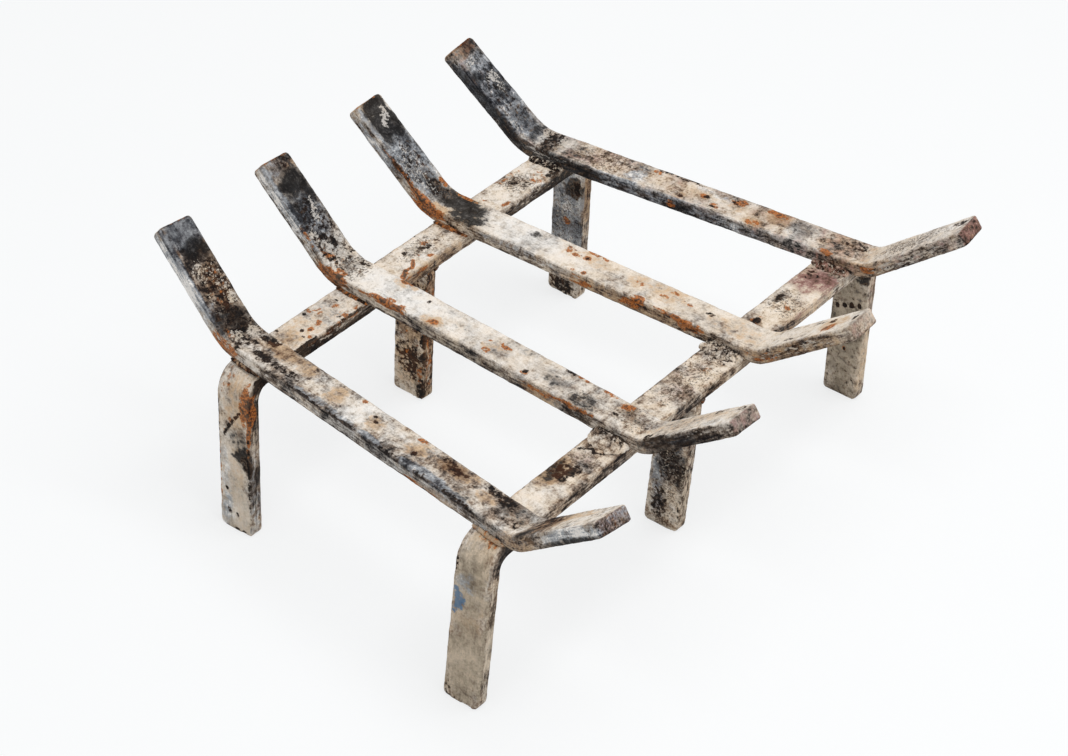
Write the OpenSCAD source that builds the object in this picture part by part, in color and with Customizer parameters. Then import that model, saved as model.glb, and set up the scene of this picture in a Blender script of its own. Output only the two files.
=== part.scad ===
// Log grate: four bent flat bars welded across two staple-shaped rails that stand on six legs.
// X runs along the rails, +Y points to the rear, Z is up. The feet stand on z = 0.

/* [Flat bar stock] */
// Width of the flat bar that every piece is cut from
stock_w = 25.4; // [20:0.1:32]
// Thickness of the flat bar
stock_t = 9.5; // [6:0.1:12]
// Radius of the rolled long edges
edge_r = 1.2; // [0.5:0.1:2]

/* [Log bars] */
// Distance between neighbouring bars, halfway along them
bar_pitch = 106.3; // [90:0.1:130]
// Angle between neighbouring bars, which spread towards the front
bar_fan = 4.76; // [0:0.02:5]
// Distance from the middle to the corner of the rear bend, on the underside
rear_run = 127; // [122:0.5:150]
// Distance from the middle to the corner of the front bend, on the underside
front_run = 126; // [120:0.5:150]
// Slope of the rear upstands
rear_slope = 39.7; // [20:0.1:60]
// Slope of the front upstands
front_slope = 38.2; // [20:0.1:60]
// Length of a rear upstand from the corner of its bend
rear_upstand = 81.8; // [50:0.1:120]
// Length of a front upstand from the corner of its bend
front_upstand = 81.2; // [50:0.1:120]
// Inside radius of the rear bends
rear_bend_r = 26; // [10:1:30]
// Inside radius of the front bends
front_bend_r = 16; // [10:1:30]

/* [Rails and legs] */
// Height of the top face of both rails
rail_z = 115.1; // [90:0.1:150]
// Distance of the rear rail's centre line behind the origin
rear_rail_y = 105.7; // [95:0.1:108]
// Distance of the front rail's centre line in front of the origin
front_rail_y = 102.2; // [95:0.1:106]
// Length of the rear rail over its end legs
rear_rail_len = 340; // [335:0.5:370]
// Length of the front rail over its end legs
front_rail_len = 396.6; // [390:0.5:430]
// Inside radius where a rail turns down into a leg
leg_bend_r = 8; // [4:0.5:12]

/* [Welds] */
// Radius of the rounded face of a weld bead
bead_r = 9; // [6:0.5:10]
// Depth of the bead's centre behind the corner that it fills
bead_sink = 1.5; // [1:0.5:3]

/* [Hidden] */
$fn = 48;
BAR_COUNT = 4;
// Length by which a straight end runs on into its bend, and how much slimmer it leaves it on each side
BITE = 1;
END_DRAW = 0.1;

REAR = 0;
FRONT = 1;
LEFT = -1;
RIGHT = 1;
// Small slips of the hand-set bars along the rails
BAR_SLIP = [0.3, 0, -1.2, 0.7];
// How much each front upstand is bent further than the slope, by hand
FRONT_SLOPE_TRIM = [0.5, -0.5, -0.6, 0.6];
// How far the foot of each leg stands off the plumb line, in X and Y: left, middle, right
REAR_LEAN = [[-3.5, -3.9], [5, 4.6], [-4.4, -3]];
FRONT_LEAN = [[-5.5, 2], [4.9, 8.4], [-1.8, -1.4]];

rail_y = [rear_rail_y, -front_rail_y];
rail_len = [rear_rail_len, front_rail_len];
lean = [REAR_LEAN, FRONT_LEAN];
leg_bend_out = leg_bend_r + stock_t;
leg_straight = rail_z - leg_bend_out;
middle_leg_x = 1;
foot_spare = 3;
bead_depth = stock_t * 0.6;

function bar_angle(i) = (i - (BAR_COUNT - 1) / 2) * bar_fan;
function bar_mid_x(i) = (i - (BAR_COUNT - 1) / 2) * bar_pitch + BAR_SLIP[i];
function bar_x_at(i, y) = bar_mid_x(i) - y * tan(bar_angle(i));
// Length that a bend takes from its corner, measured on the outside, to a hundredth
function bend_reach(r_in, angle) = round(100 * (r_in + stock_t) * tan(angle / 2)) / 100;

// Cross-section of the stock, with its rolled edges, centred on the origin
module stock_section(w, t) {
    square([w - 2 * edge_r, t], center = true);
    square([w, t - 2 * edge_r], center = true);
    for (sx = [-1, 1], sy = [-1, 1])
        translate([sx * (w / 2 - edge_r), sy * (t / 2 - edge_r)]) circle(edge_r);
}

// Straight stock that runs along +Y from the origin, lying on z = 0
module straight_stock(length, draw = 0) {
    translate([0, 0, stock_t / 2]) rotate([-90, 0, 0])
        linear_extrude(length) stock_section(stock_w - 2 * draw, stock_t - 2 * draw);
}

// Stock that leaves the origin along +Y and curves upwards
module bent_stock(r_in, angle) {
    translate([0, 0, r_in + stock_t]) rotate([0, 90, 0])
        rotate_extrude(angle = angle) translate([r_in + stock_t / 2, 0])
            stock_section(stock_t, stock_w);
}

// Moves its children to the end of such a bend
module after_bend(r_in, angle) {
    translate([0, 0, r_in + stock_t]) rotate([angle, 0, 0])
        translate([0, 0, -r_in - stock_t]) children();
}

// A bend with the straight end that follows it
module upstand(r_in, angle, length) {
    bent_stock(r_in, angle);
    after_bend(r_in, angle) translate([0, -BITE, 0])
        straight_stock(length - bend_reach(r_in, angle) + BITE, END_DRAW);
}

// One log bar, lying along Y with its underside on z = 0
module log_bar(slope) {
    rear_start = rear_run - bend_reach(rear_bend_r, rear_slope);
    front_start = front_run - bend_reach(front_bend_r, slope);
    translate([0, -front_start, 0]) straight_stock(front_start + rear_start);
    translate([0, rear_start, 0]) upstand(rear_bend_r, rear_slope, rear_upstand);
    mirror([0, 1, 0]) translate([0, front_start, 0])
        upstand(front_bend_r, slope, front_upstand);
}

module placed_bar(i) {
    translate([bar_mid_x(i), 0, rail_z]) rotate([0, 0, bar_angle(i)])
        log_bar(front_slope + FRONT_SLOPE_TRIM[i]);
}

// Leg stock that hangs from the origin, with its foot moved off plumb
module hanging_leg(length, offset) {
    rotate([atan(offset[1] / length), -atan(offset[0] / length), 0])
        translate([0, 0, -length - foot_spare]) linear_extrude(length + foot_spare + BITE)
            stock_section(stock_t - 2 * END_DRAW, stock_w - 2 * END_DRAW);
}

// End of a rail: the turn downwards and its leg, for the end on the +X side
module rail_end(offset) {
    mirror([0, 0, 1]) rotate([0, 0, -90]) bent_stock(leg_bend_r, 90);
    translate([leg_bend_out - stock_t / 2, 0, -leg_bend_out])
        hanging_leg(leg_straight, offset);
}

// One rail with its two end legs, bent from a single length of stock
module staple(r) {
    half = rail_len[r] / 2 - leg_bend_out;
    difference() {
        translate([0, rail_y[r], rail_z]) {
            translate([-half, 0, -stock_t]) rotate([0, 0, -90]) straight_stock(2 * half);
            translate([half, 0, 0]) rail_end(lean[r][2]);
            mirror([1, 0, 0]) translate([half, 0, 0])
                rail_end([-lean[r][0][0], lean[r][0][1]]);
        }
        floor_cut();
    }
}

// Everything below the surface that the feet stand on
module floor_cut() {
    translate([-front_rail_len, -front_rail_len, -20])
        cube([2 * front_rail_len, 2 * front_rail_len, 20]);
}

// Straight leg under the middle of a rail, cut square against its underside
module middle_leg(r) {
    top = rail_z - stock_t;
    difference() {
        translate([middle_leg_x, rail_y[r], top]) {
            hanging_leg(top, lean[r][1]);
        }
        floor_cut();
        translate([middle_leg_x - stock_w, rail_y[r] - stock_w, top])
            cube([2 * stock_w, 2 * stock_w, stock_t]);
    }
}

// Round weld metal along Y, on the +X side of the plane x = 0
module bead_core() {
    half = stock_w / 2;
    straight = half - bead_r * 0.7;
    intersection() {
        union() {
            rotate([90, 0, 0]) cylinder(r = bead_r, h = 2 * straight, center = true);
            for (s = [-1, 1]) translate([0, s * straight, 0]) sphere(bead_r);
        }
        translate([bead_sink, -half + edge_r, -bead_depth])
            cube([bead_r, 2 * (half - edge_r), bead_depth + bead_r]);
    }
}

// Fillet weld on one side of bar i where it lies on rail r
module bar_weld(r, i, side) {
    edge_x = bar_x_at(i, rail_y[r]) + side * stock_w / 2 / cos(bar_angle(i));
    difference() {
        translate([edge_x, rail_y[r], rail_z - bead_sink]) rotate([0, 0, bar_angle(i)])
            mirror([side < 0 ? 1 : 0, 0, 0]) translate([-bead_sink, 0, 0]) bead_core();
        staple(r);
    }
}

// Fillet weld between a rail's underside and one face of its middle leg
module leg_weld(r, side) {
    top = rail_z - stock_t;
    difference() {
        translate([middle_leg_x, rail_y[r], top + bead_sink])
            mirror([side < 0 ? 1 : 0, 0, 0])
                translate([stock_t / 2 - bead_sink - 1, 0, 0]) bead_core();
        translate([middle_leg_x - stock_w, rail_y[r] - stock_w, top])
            cube([2 * stock_w, 2 * stock_w, 2 * stock_t]);
        middle_leg(r);
    }
}

module bar_1() { color("#8f8a84") placed_bar(0); }
module bar_2() { color("#b3a79a") placed_bar(1); }
module bar_3() { color("#a89a8a") placed_bar(2); }
module bar_4() { color("#6b6460") placed_bar(3); }
module rear_rail() { color("#c2b6a6") staple(REAR); }
module front_rail() { color("#b09f8c") staple(FRONT); }
module rear_middle_leg() { color("#84705f") middle_leg(REAR); }
module front_middle_leg() { color("#6f655c") middle_leg(FRONT); }
module rail_bead(r, i, side) { color("#4d3b31") bar_weld(r, i, side); }
module leg_bead(r, side) { color("#5a473a") leg_weld(r, side); }

bar_1();
bar_2();
bar_3();
bar_4();
rear_rail();
front_rail();
rear_middle_leg();
front_middle_leg();
rail_bead(REAR, 0, LEFT);  // weld_rear_1_left
rail_bead(REAR, 0, RIGHT);  // weld_rear_1_right
rail_bead(REAR, 1, LEFT);  // weld_rear_2_left
rail_bead(REAR, 1, RIGHT);  // weld_rear_2_right
rail_bead(REAR, 2, LEFT);  // weld_rear_3_left
rail_bead(REAR, 2, RIGHT);  // weld_rear_3_right
rail_bead(REAR, 3, LEFT);  // weld_rear_4_left
rail_bead(REAR, 3, RIGHT);  // weld_rear_4_right
rail_bead(FRONT, 0, LEFT);  // weld_front_1_left
rail_bead(FRONT, 0, RIGHT);  // weld_front_1_right
rail_bead(FRONT, 1, LEFT);  // weld_front_2_left
rail_bead(FRONT, 1, RIGHT);  // weld_front_2_right
rail_bead(FRONT, 2, LEFT);  // weld_front_3_left
rail_bead(FRONT, 2, RIGHT);  // weld_front_3_right
rail_bead(FRONT, 3, LEFT);  // weld_front_4_left
rail_bead(FRONT, 3, RIGHT);  // weld_front_4_right
leg_bead(REAR, LEFT);  // weld_rear_leg_left
leg_bead(REAR, RIGHT);  // weld_rear_leg_right
leg_bead(FRONT, LEFT);  // weld_front_leg_left
leg_bead(FRONT, RIGHT);  // weld_front_leg_right
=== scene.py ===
# Log grate: fire-scaled, sooted and rusted flat bar, bent and welded, on a plain floor.
import math
import random

import bmesh
import bpy
import numpy as np
from bpy.props import FloatProperty, FloatVectorProperty, IntProperty, PointerProperty
from bpy.types import Operator, Panel, PropertyGroup
from mathutils import Matrix, Vector, noise


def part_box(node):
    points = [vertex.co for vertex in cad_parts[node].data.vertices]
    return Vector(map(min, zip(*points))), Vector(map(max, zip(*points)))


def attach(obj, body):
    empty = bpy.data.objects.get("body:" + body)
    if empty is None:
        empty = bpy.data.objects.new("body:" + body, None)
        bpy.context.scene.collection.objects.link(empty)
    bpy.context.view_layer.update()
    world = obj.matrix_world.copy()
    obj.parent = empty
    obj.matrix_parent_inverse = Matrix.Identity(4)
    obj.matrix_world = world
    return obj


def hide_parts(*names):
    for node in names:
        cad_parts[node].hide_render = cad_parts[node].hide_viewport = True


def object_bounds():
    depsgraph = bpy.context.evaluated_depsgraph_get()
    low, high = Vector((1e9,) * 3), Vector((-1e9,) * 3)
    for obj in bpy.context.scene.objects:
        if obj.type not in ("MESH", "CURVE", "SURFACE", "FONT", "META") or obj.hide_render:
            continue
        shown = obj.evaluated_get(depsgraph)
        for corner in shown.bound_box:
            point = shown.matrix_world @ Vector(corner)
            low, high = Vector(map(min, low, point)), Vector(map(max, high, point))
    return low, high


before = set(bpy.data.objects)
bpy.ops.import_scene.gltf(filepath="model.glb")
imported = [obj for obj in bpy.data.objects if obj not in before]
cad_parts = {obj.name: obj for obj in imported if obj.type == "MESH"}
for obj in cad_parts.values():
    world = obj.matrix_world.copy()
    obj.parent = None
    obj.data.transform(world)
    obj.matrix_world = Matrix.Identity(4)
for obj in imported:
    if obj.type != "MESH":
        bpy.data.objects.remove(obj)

bl_info = {
    "name": "Log grate",
    "version": (1, 0, 0),
    "blender": (4, 5, 0),
    "location": "3D View > Sidebar > Log grate",
    "description": "Models a welded flat-bar log grate with its fire-worn finish",
    "category": "Add Mesh",
}

CAD_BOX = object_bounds()
MM = 0.001
PHOTO_WIDTH, PHOTO_HEIGHT = 1068, 756

# Where each bar and leg really sits: slips along the rails, extra bend of the front ends, and leans of the feet
BARS = (1, 2, 3, 4)
BAR_SLIP = {1: 0.3, 2: 0.0, 3: -1.2, 4: 0.7}
FRONT_TRIM = {1: 0.5, 2: -0.5, 3: -0.6, 4: 0.6}
RAILS = ("rear", "front")
FOOT_LEAN = {
    "rear": {"left": (-3.5, -3.9), "middle": (5.0, 4.6), "right": (-4.4, -3.0)},
    "front": {"left": (-5.5, 2.0), "middle": (4.9, 8.4), "right": (-1.8, -1.4)},
}
MIDDLE_LEG_X = 1.0
FOOT_WEAR = 0.45
PLAIN_BEAD = (6.0 * MM, 5.0 * MM)


# ---------------------------------------------------------------- properties

def length(name, description, default):
    return FloatProperty(name=name, description=description, default=default * MM, unit="LENGTH", precision=4)


def angle(name, description, default):
    return FloatProperty(name=name, description=description, default=math.radians(default), subtype="ANGLE")


def paint(name, description, red, green, blue):
    """A colour property, given as the 0 to 255 values of a colour picker."""
    values = [linear(v / 255) for v in (red, green, blue)]
    return FloatVectorProperty(name=name, description=description, default=values, subtype="COLOR",
                               size=3, min=0, max=1)


def linear(v):
    return v / 12.92 if v <= 0.04045 else ((v + 0.055) / 1.055) ** 2.4


class GrateSizes(PropertyGroup):
    stock_width: length("Stock width", "Width of the flat bar", 25.4)
    stock_thickness: length("Stock thickness", "Thickness of the flat bar", 9.5)
    edge_radius: length("Edge radius", "Radius of the rolled edges", 0.9)
    corner_radius: length("Corner radius", "Radius of the blunted corners at the ends of the stock", 3)
    bar_pitch: length("Bar pitch", "Distance between neighbouring bars", 106.3)
    bar_fan: angle("Bar fan", "Angle between neighbouring bars", 4.76)
    rear_run: length("Rear run", "Middle to the corner of the rear bend", 127)
    front_run: length("Front run", "Middle to the corner of the front bend", 126)
    rear_slope: angle("Rear slope", "Slope of the rear upstands", 39.7)
    front_slope: angle("Front slope", "Slope of the front upstands", 38.2)
    rear_upstand: length("Rear upstand", "Rear upstand from the corner of its bend", 81.8)
    front_upstand: length("Front upstand", "Front upstand from the corner of its bend", 81.2)
    rear_bend: length("Rear bend", "Inside radius of the rear bends", 26)
    front_bend: length("Front bend", "Inside radius of the front bends", 16)
    leg_bend: length("Leg bend", "Inside radius where a rail turns into a leg", 8)
    rear_rail_y: length("Rear rail", "Rear rail's centre line behind the origin", 105.7)
    front_rail_y: length("Front rail", "Front rail's centre line in front of the origin", 102.2)
    rear_rail_length: length("Rear rail length", "Rear rail over its end legs", 340)
    front_rail_length: length("Front rail length", "Front rail over its end legs", 396.6)
    grain_size: length("Mesh grain", "Size of the mesh faces on the bars", 0.8)
    bead_grain: length("Bead grain", "Size of the mesh faces on the weld beads", 0.55)


class GrateColours(PropertyGroup):
    ash: paint("Ash", "Palest ash film", 248, 244, 239)
    pale_grey: paint("Pale grey", "Light cool scale", 208, 203, 197)
    grey: paint("Grey", "Middle cool scale", 140, 134, 128)
    slate: paint("Slate", "Dark cool scale", 62, 59, 58)
    ivory: paint("Ivory", "Palest warm scale", 245, 232, 216)
    cream: paint("Cream", "Light warm scale", 222, 204, 181)
    tan: paint("Tan", "Middle warm scale", 158, 133, 110)
    umber: paint("Umber", "Dark warm scale", 76, 59, 46)
    char: paint("Char", "Darkest crust", 28, 20, 17)
    soot: paint("Soot", "Black soot", 12, 11, 12)
    stain_light: paint("Light stain", "Tan heat stain", 212, 178, 138)
    stain_dark: paint("Dark stain", "Brown heat stain", 84, 48, 28)
    plum: paint("Plum", "Reddish purple heat stain", 150, 104, 100)
    khaki: paint("Khaki", "Dusty bare steel of the legs", 168, 154, 134)
    blue: paint("Blue", "Blue heat stain", 34, 110, 156)
    film_dark: paint("Dark film", "Dark blue-grey steel", 54, 59, 67)
    film_light: paint("Light film", "Light blue-grey steel", 162, 168, 175)
    rust_bright: paint("Bright rust", "Fresh orange rust", 196, 116, 54)
    rust_dark: paint("Dark rust", "Old brown rust", 104, 56, 28)


class GrateStage(PropertyGroup):
    camera_turn: angle("Camera turn", "Camera's angle about the grate", -53.435)
    camera_lift: angle("Camera lift", "Camera's height angle", 37.303)
    camera_roll: angle("Camera roll", "Camera's roll", 2.694)
    camera_distance: length("Camera distance", "Distance along the view axis", 2004.4)
    camera_right: length("Camera right", "Origin's place to the right of the view axis", 6.39)
    camera_up: length("Camera up", "Origin's place above the view axis", -56.03)
    focal_pixels: FloatProperty(name="Focal length", description="In pixels of the frame's width",
                                default=3148.4)
    centre_x: FloatProperty(name="Centre X", description="Picture's centre, in pixels", default=529.83)
    centre_y: FloatProperty(name="Centre Y", description="Picture's centre, in pixels", default=375.66)
    floor_size: length("Floor size", "Side of the square floor", 6000)
    floor: paint("Floor", "Floor's colour", 244, 246, 247)
    floor_white: FloatProperty(name="White of the floor", description="Share of plain white in the floor as seen",
                               default=0.72, min=0, max=1)
    world_strength: FloatProperty(name="Sky", description="Strength of the even light", default=0.5)
    lamp_power: FloatProperty(name="Lamp", description="Power of the soft overhead lamp", default=26.0,
                              subtype="POWER")


def sizes():
    return bpy.context.scene.grate_sizes


def colours():
    return bpy.context.scene.grate_colours


# ------------------------------------------------------------ shader algebra

class Value:
    """A shader socket that takes part in Python arithmetic by adding Math nodes."""

    def __init__(self, recipe, socket):
        self.recipe = recipe
        self.socket = socket

    def _with(self, operation, *others, clamp=False):
        return self.recipe.node("ShaderNodeMath", {"operation": operation, "use_clamp": clamp},
                                {i: v for i, v in enumerate((self,) + others)})

    def __add__(self, other):
        return self._with("ADD", other)

    def __radd__(self, other):
        return self._with("ADD", other)

    def __sub__(self, other):
        return self._with("SUBTRACT", other)

    def __rsub__(self, other):
        return self.recipe.node("ShaderNodeMath", {"operation": "SUBTRACT"}, {0: other, 1: self})

    def __mul__(self, other):
        return self._with("MULTIPLY", other)

    def __rmul__(self, other):
        return self._with("MULTIPLY", other)

    def clamped(self):
        return self._with("ADD", 0.0, clamp=True)

    def most(self, other):
        return self._with("MAXIMUM", other)

    def least(self, other):
        return self._with("MINIMUM", other)

    def step(self, low, high):
        """0 below low and 1 above high, smooth between them."""
        return self.recipe.node("ShaderNodeMapRange", {"interpolation_type": "SMOOTHSTEP"},
                                {"Value": self, "From Min": low, "From Max": high})


class Recipe:
    """One material and its node tree. Its patterns lie in the straight stock's own space, in millimetres."""

    def __init__(self, name, seed):
        self.material = bpy.data.materials.new(name)
        self.material.use_nodes = True
        self.tree = self.material.node_tree
        self.tree.nodes.clear()
        self.seed = seed
        self.stock = self.node("ShaderNodeAttribute", {"attribute_name": "stock"}, output="Vector")

    def node(self, kind, settings=None, inputs=None, output=0):
        made = self.tree.nodes.new(kind)
        for key, value in (settings or {}).items():
            if key == "stops":
                self._set_ramp(made, value)
            else:
                setattr(made, key, value)
        for key, value in (inputs or {}).items():
            if isinstance(value, Value):
                self.tree.links.new(value.socket, made.inputs[key])
            else:
                made.inputs[key].default_value = value
        return Value(self, made.outputs[output])

    @staticmethod
    def _set_ramp(made, stops):
        elements = made.color_ramp.elements
        while len(elements) < len(stops):
            elements.new(0.5)
        for element, (place, colour) in zip(elements, stops):
            element.position = place
            element.color = (*colour, 1.0)

    def attribute(self, name):
        return self.node("ShaderNodeAttribute", {"attribute_name": name}, output="Fac")

    def ramp(self, place, stops):
        return self.node("ShaderNodeValToRGB", {"stops": stops}, {"Fac": place})

    def blend(self, mask, under, over):
        """Colour over laid on colour under, where the mask is 1."""
        under, over = [c if isinstance(c, Value) else (*c, 1.0) for c in (under, over)]
        return self.node("ShaderNodeMix", {"data_type": "RGBA"}, {"Factor": mask, 6: under, 7: over}, output=2)

    def spread(self, size, shift, drawn):
        """The stock's coordinates in steps of size, drawn out along it when drawn is below 1."""
        step = 1 / (size * MM)
        move = (7.3 * shift + 3.1 * self.seed, 11.9 * shift + 23.7 * self.seed, 5.1 * shift)
        return self.node("ShaderNodeVectorMath", {"operation": "MULTIPLY_ADD"},
                         {0: self.stock, 1: (step, step * drawn, step), 2: move})

    def noise(self, size, detail, roughness, shift=0, drawn=1.0):
        """Noise about zero with a spread of about one."""
        fac = self.node("ShaderNodeTexNoise", {}, {"Vector": self.spread(size, shift, drawn), "Scale": 1.0,
                                                   "Detail": detail, "Roughness": roughness})
        return (fac - 0.5) * (17.0 if detail > 4 else 12.5)

    def cells(self, size, wobble):
        """Distance to the nearest of a set of random points, and a random number for each point."""
        place = self.spread(size, 10, 1.0)
        bent = self.node("ShaderNodeVectorMath", {"operation": "MULTIPLY_ADD"}, {
            0: self.node("ShaderNodeTexNoise", {}, {"Vector": place, "Scale": 2.0, "Detail": 3.0}, output="Color"),
            1: (wobble,) * 3, 2: place})
        cells = {"Vector": bent, "Scale": 1.0}
        return (self.node("ShaderNodeTexVoronoi", {}, cells),
                self.node("ShaderNodeTexVoronoi", {}, cells, output="Color"))

    def bump(self, height, depth, strength):
        return self.node("ShaderNodeBump", {}, {"Height": height, "Distance": depth, "Strength": strength})

    def finish(self, colour, roughness, metallic, normal):
        self.surface(self.node("ShaderNodeBsdfPrincipled", {}, {
            "Base Color": colour, "Roughness": roughness, "Metallic": metallic, "Normal": normal,
            "Specular IOR Level": 0.12}, output="BSDF"))
        return self.material

    def surface(self, shader):
        end = self.tree.nodes.new("ShaderNodeOutputMaterial")
        self.tree.links.new(shader.socket, end.inputs["Surface"])


# ------------------------------------------------------------------ finishes

# Painted on each vertex. "light" and "warm" shift the scale's colour; the others say how much of the metal
# a layer covers, from 0 to 1.
PAINTS = ("light", "warm", "mottle", "bare", "stain", "plum", "khaki", "blue", "film", "smoke", "rust", "crust", "flecks",
          "spots", "pits")


def fire_steel(name, seed, tone, warmth):
    """Steel that has been through many fires: mottled scale under stains, smoke, rust, crust, flecks and pits."""
    c = colours()
    r = Recipe(name, seed)
    w = {p: r.attribute(p) for p in PAINTS}
    flank, arris = r.attribute("flank"), r.attribute("arris")
    cloud = r.noise(16.0, 3.0, 0.5)
    patch = r.noise(5.0, 5.0, 0.58, shift=1)
    grain = r.noise(1.3, 3.0, 0.6, shift=2)
    streak = r.noise(1.3, 5.0, 0.65, shift=3, drawn=0.11)

    def lumps(size, detail, roughness, shift):
        """Lumps on the faces, and long streaks on the edges of the bar, where the rolls drew them out."""
        even = r.noise(size, detail, roughness, shift=shift)
        drawn = r.noise(size * 0.8, detail, roughness, shift=shift, drawn=0.3)
        return even * (1 - flank) + drawn * flank

    def broken(kind, pattern, depth):
        """The painted layer, broken up by the pattern where it is thin, and absent where none was painted."""
        return w[kind] + pattern * depth * (w[kind] * 4).clamped()

    bare = (w["bare"] + lumps(8.0, 6.0, 0.6, 11) * 0.18).step(0.25, 0.75)
    # The side faces (flank) are painted darker here: partly their own sootier scale, partly painted shade on the
    # sides.
    light = (tone + w["light"] - bare * 0.15 + cloud * 0.085
             + (patch * 0.072 + grain * 0.07) * (0.6 + w["mottle"]) + streak * (0.03 + flank * 0.06)
             - flank * 0.18).clamped()
    warm = (warmth + w["warm"] + cloud * 0.1 + r.noise(7.0, 4.0, 0.55, shift=4) * 0.12 + bare * 0.2
            + streak * flank * 0.07).clamped()
    cool_scale = r.ramp(light, [(0.0, c.soot), (0.2, c.slate), (0.44, c.grey), (0.7, c.pale_grey), (1.0, c.ash)])
    warm_scale = r.ramp(light, [(0.0, c.char), (0.2, c.umber), (0.44, c.tan), (0.7, c.cream), (1.0, c.ivory)])
    colour = r.blend(warm, cool_scale, warm_scale)

    stain = broken("stain", patch * 0.16 + cloud * 0.06 + streak * 0.08, 1).step(0.1, 0.95) * 0.8
    colour = r.blend(stain, colour, r.ramp(light, [(0.1, c.stain_dark), (0.9, c.stain_light)]))
    plum = broken("plum", patch * 0.14 + grain * 0.06, 1).step(0.2, 0.9) * 0.8
    colour = r.blend(plum, colour, r.ramp(light, [(0.1, c.umber), (0.6, c.plum), (1.0, c.cream)]))
    khaki = broken("khaki", patch, 0.1).step(0.15, 0.85) * 0.9
    colour = r.blend(khaki, colour, r.ramp(light, [(0.1, c.umber), (0.58, c.khaki), (1.0, c.cream)]))
    film = broken("film", patch * 0.12 + cloud * 0.06 + streak * 0.05, 1).step(0.15, 0.85) * 0.85
    colour = r.blend(film, colour, r.ramp(light, [(0.0, c.soot), (0.3, c.film_dark), (0.75, c.film_light), (1.0, c.ash)]))
    blue = broken("blue", patch * 0.26 + grain * 0.2, 1).step(0.25, 1.0) * 0.74
    colour = r.blend(blue, colour, c.blue)
    smoke = broken("smoke", patch * 0.2 + grain * 0.06 + streak * 0.06, 1).step(0.1, 0.85) * 0.96
    soot = r.ramp(light * 0.4 + grain * 0.1 + patch * 0.1 - 0.05, [(0.2, c.soot), (0.65, c.slate), (1.0, c.grey)])
    colour = r.blend(smoke, colour, soot)

    rust = broken("rust", lumps(3.4, 6.0, 0.6, 5) * 0.17 + grain * 0.03, 1)
    colour = r.blend(rust.step(0.15, 0.55) * 0.6, colour, r.ramp(light, [(0.1, c.rust_dark), (0.85, c.stain_light)]))
    depth = (rust - 0.42) * 0.9 + r.noise(1.8, 4.0, 0.6, shift=6) * 0.22
    colour = r.blend(rust.step(0.33, 0.6) * 0.87, colour, r.ramp(depth, [
        (0.0, c.rust_dark), (0.12, c.rust_bright), (0.3, c.rust_bright), (0.55, c.rust_dark), (1.0, c.char)]))

    crust = broken("crust", lumps(3.0, 6.0, 0.62, 7), 0.19)
    colour = r.blend(crust.step(0.15, 0.5) * (0.55 + flank * 0.15), colour, r.ramp(light, [(0.1, c.char), (0.5, c.umber), (1.0, c.tan)]))
    crust = crust.step(0.4, 0.62)
    dark = r.ramp(grain * 0.14 + patch * 0.1 + 0.42, [(0.2, c.soot), (0.5, c.char), (0.9, c.umber)])
    colour = r.blend(crust * (0.96 - flank * 0.4), colour, r.blend(stain * 0.55, dark, c.stain_dark))

    flecks = broken("flecks", lumps(1.9, 7.0, 0.7, 8), 0.24).step(0.43, 0.6)
    colour = r.blend(flecks * 0.85, colour, r.blend(warm, c.pale_grey, c.cream))

    near, chance = r.cells(4.2, 0.9)
    spot = chance.step(0.15, 0.85) * w["spots"] * 0.56 - near
    spots = spot.step(0.0, 0.08)
    colour = r.blend(spots * 0.85, colour, r.ramp(spot * 2.6 + grain * 0.04, [
        (0.0, c.umber), (0.2, c.rust_dark), (0.5, c.rust_bright)]))

    pits = broken("pits", r.noise(1.1, 1.5, 0.5, shift=9), 0.2).step(0.45, 0.65)
    colour = r.blend(pits * 0.7, colour, c.umber)

    line = (arris * 0.5 + streak * 0.16 + patch * 0.08).step(0.4, 0.8) * 0.6
    colour = r.blend(line, colour, c.umber)

    height = (patch * 0.1 + grain * 0.12 + streak * 0.04 - bare * 0.15 + crust * 0.35 + flecks * 0.3 - pits * 0.5
              - spots * 0.25)
    roughness = (0.72 + crust * 0.14 + smoke * 0.08 - film * 0.16 + grain * 0.04).clamped()
    metallic = film * (1 - smoke) * 0.25
    return r.finish(colour, roughness, metallic, r.bump(height, 0.0008, 0.9))


def plain_floor(name):
    """Pale floor that keeps the grate's shadow."""
    c = tuple(bpy.context.scene.grate_stage.floor)
    r = Recipe(name, 0)
    place = r.node("ShaderNodeTexCoord", {}, {}, output="Object")
    cloud = r.node("ShaderNodeTexNoise", {}, {"Vector": place, "Scale": 18.0, "Detail": 4.0})
    colour = r.blend(cloud.step(0.3, 0.7) * 0.2, c, tuple(v * 0.97 for v in c))
    lit = r.node("ShaderNodeBsdfDiffuse", {}, {"Color": colour}, output="BSDF")
    white = r.node("ShaderNodeEmission", {}, {"Color": (0.985, 0.993, 0.998, 1.0)}, output="Emission")
    seen = r.node("ShaderNodeLightPath", {}, {}, output="Is Camera Ray").most(
        r.node("ShaderNodeLightPath", {}, {}, output="Is Glossy Ray")) * bpy.context.scene.grate_stage.floor_white
    r.surface(r.node("ShaderNodeMixShader", {}, {0: seen, 1: lit, 2: white}, output="Shader"))
    return r.material


# ----------------------------------------------------------------- modelling

def begin():
    """Leaves edit mode and deselects everything."""
    if bpy.context.object and bpy.context.object.mode != "OBJECT":
        bpy.ops.object.mode_set(mode="OBJECT")
    bpy.ops.object.select_all(action="DESELECT")


def block(name, low, high):
    """A box between two corners, as a new mesh with its place applied."""
    begin()
    low, high = Vector(low), Vector(high)
    bpy.ops.mesh.primitive_cube_add(size=1, location=(low + high) / 2, scale=high - low)
    piece = bpy.context.object
    piece.name = piece.data.name = name
    bpy.ops.object.transform_apply(location=True, rotation=True, scale=True)
    return piece


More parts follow.
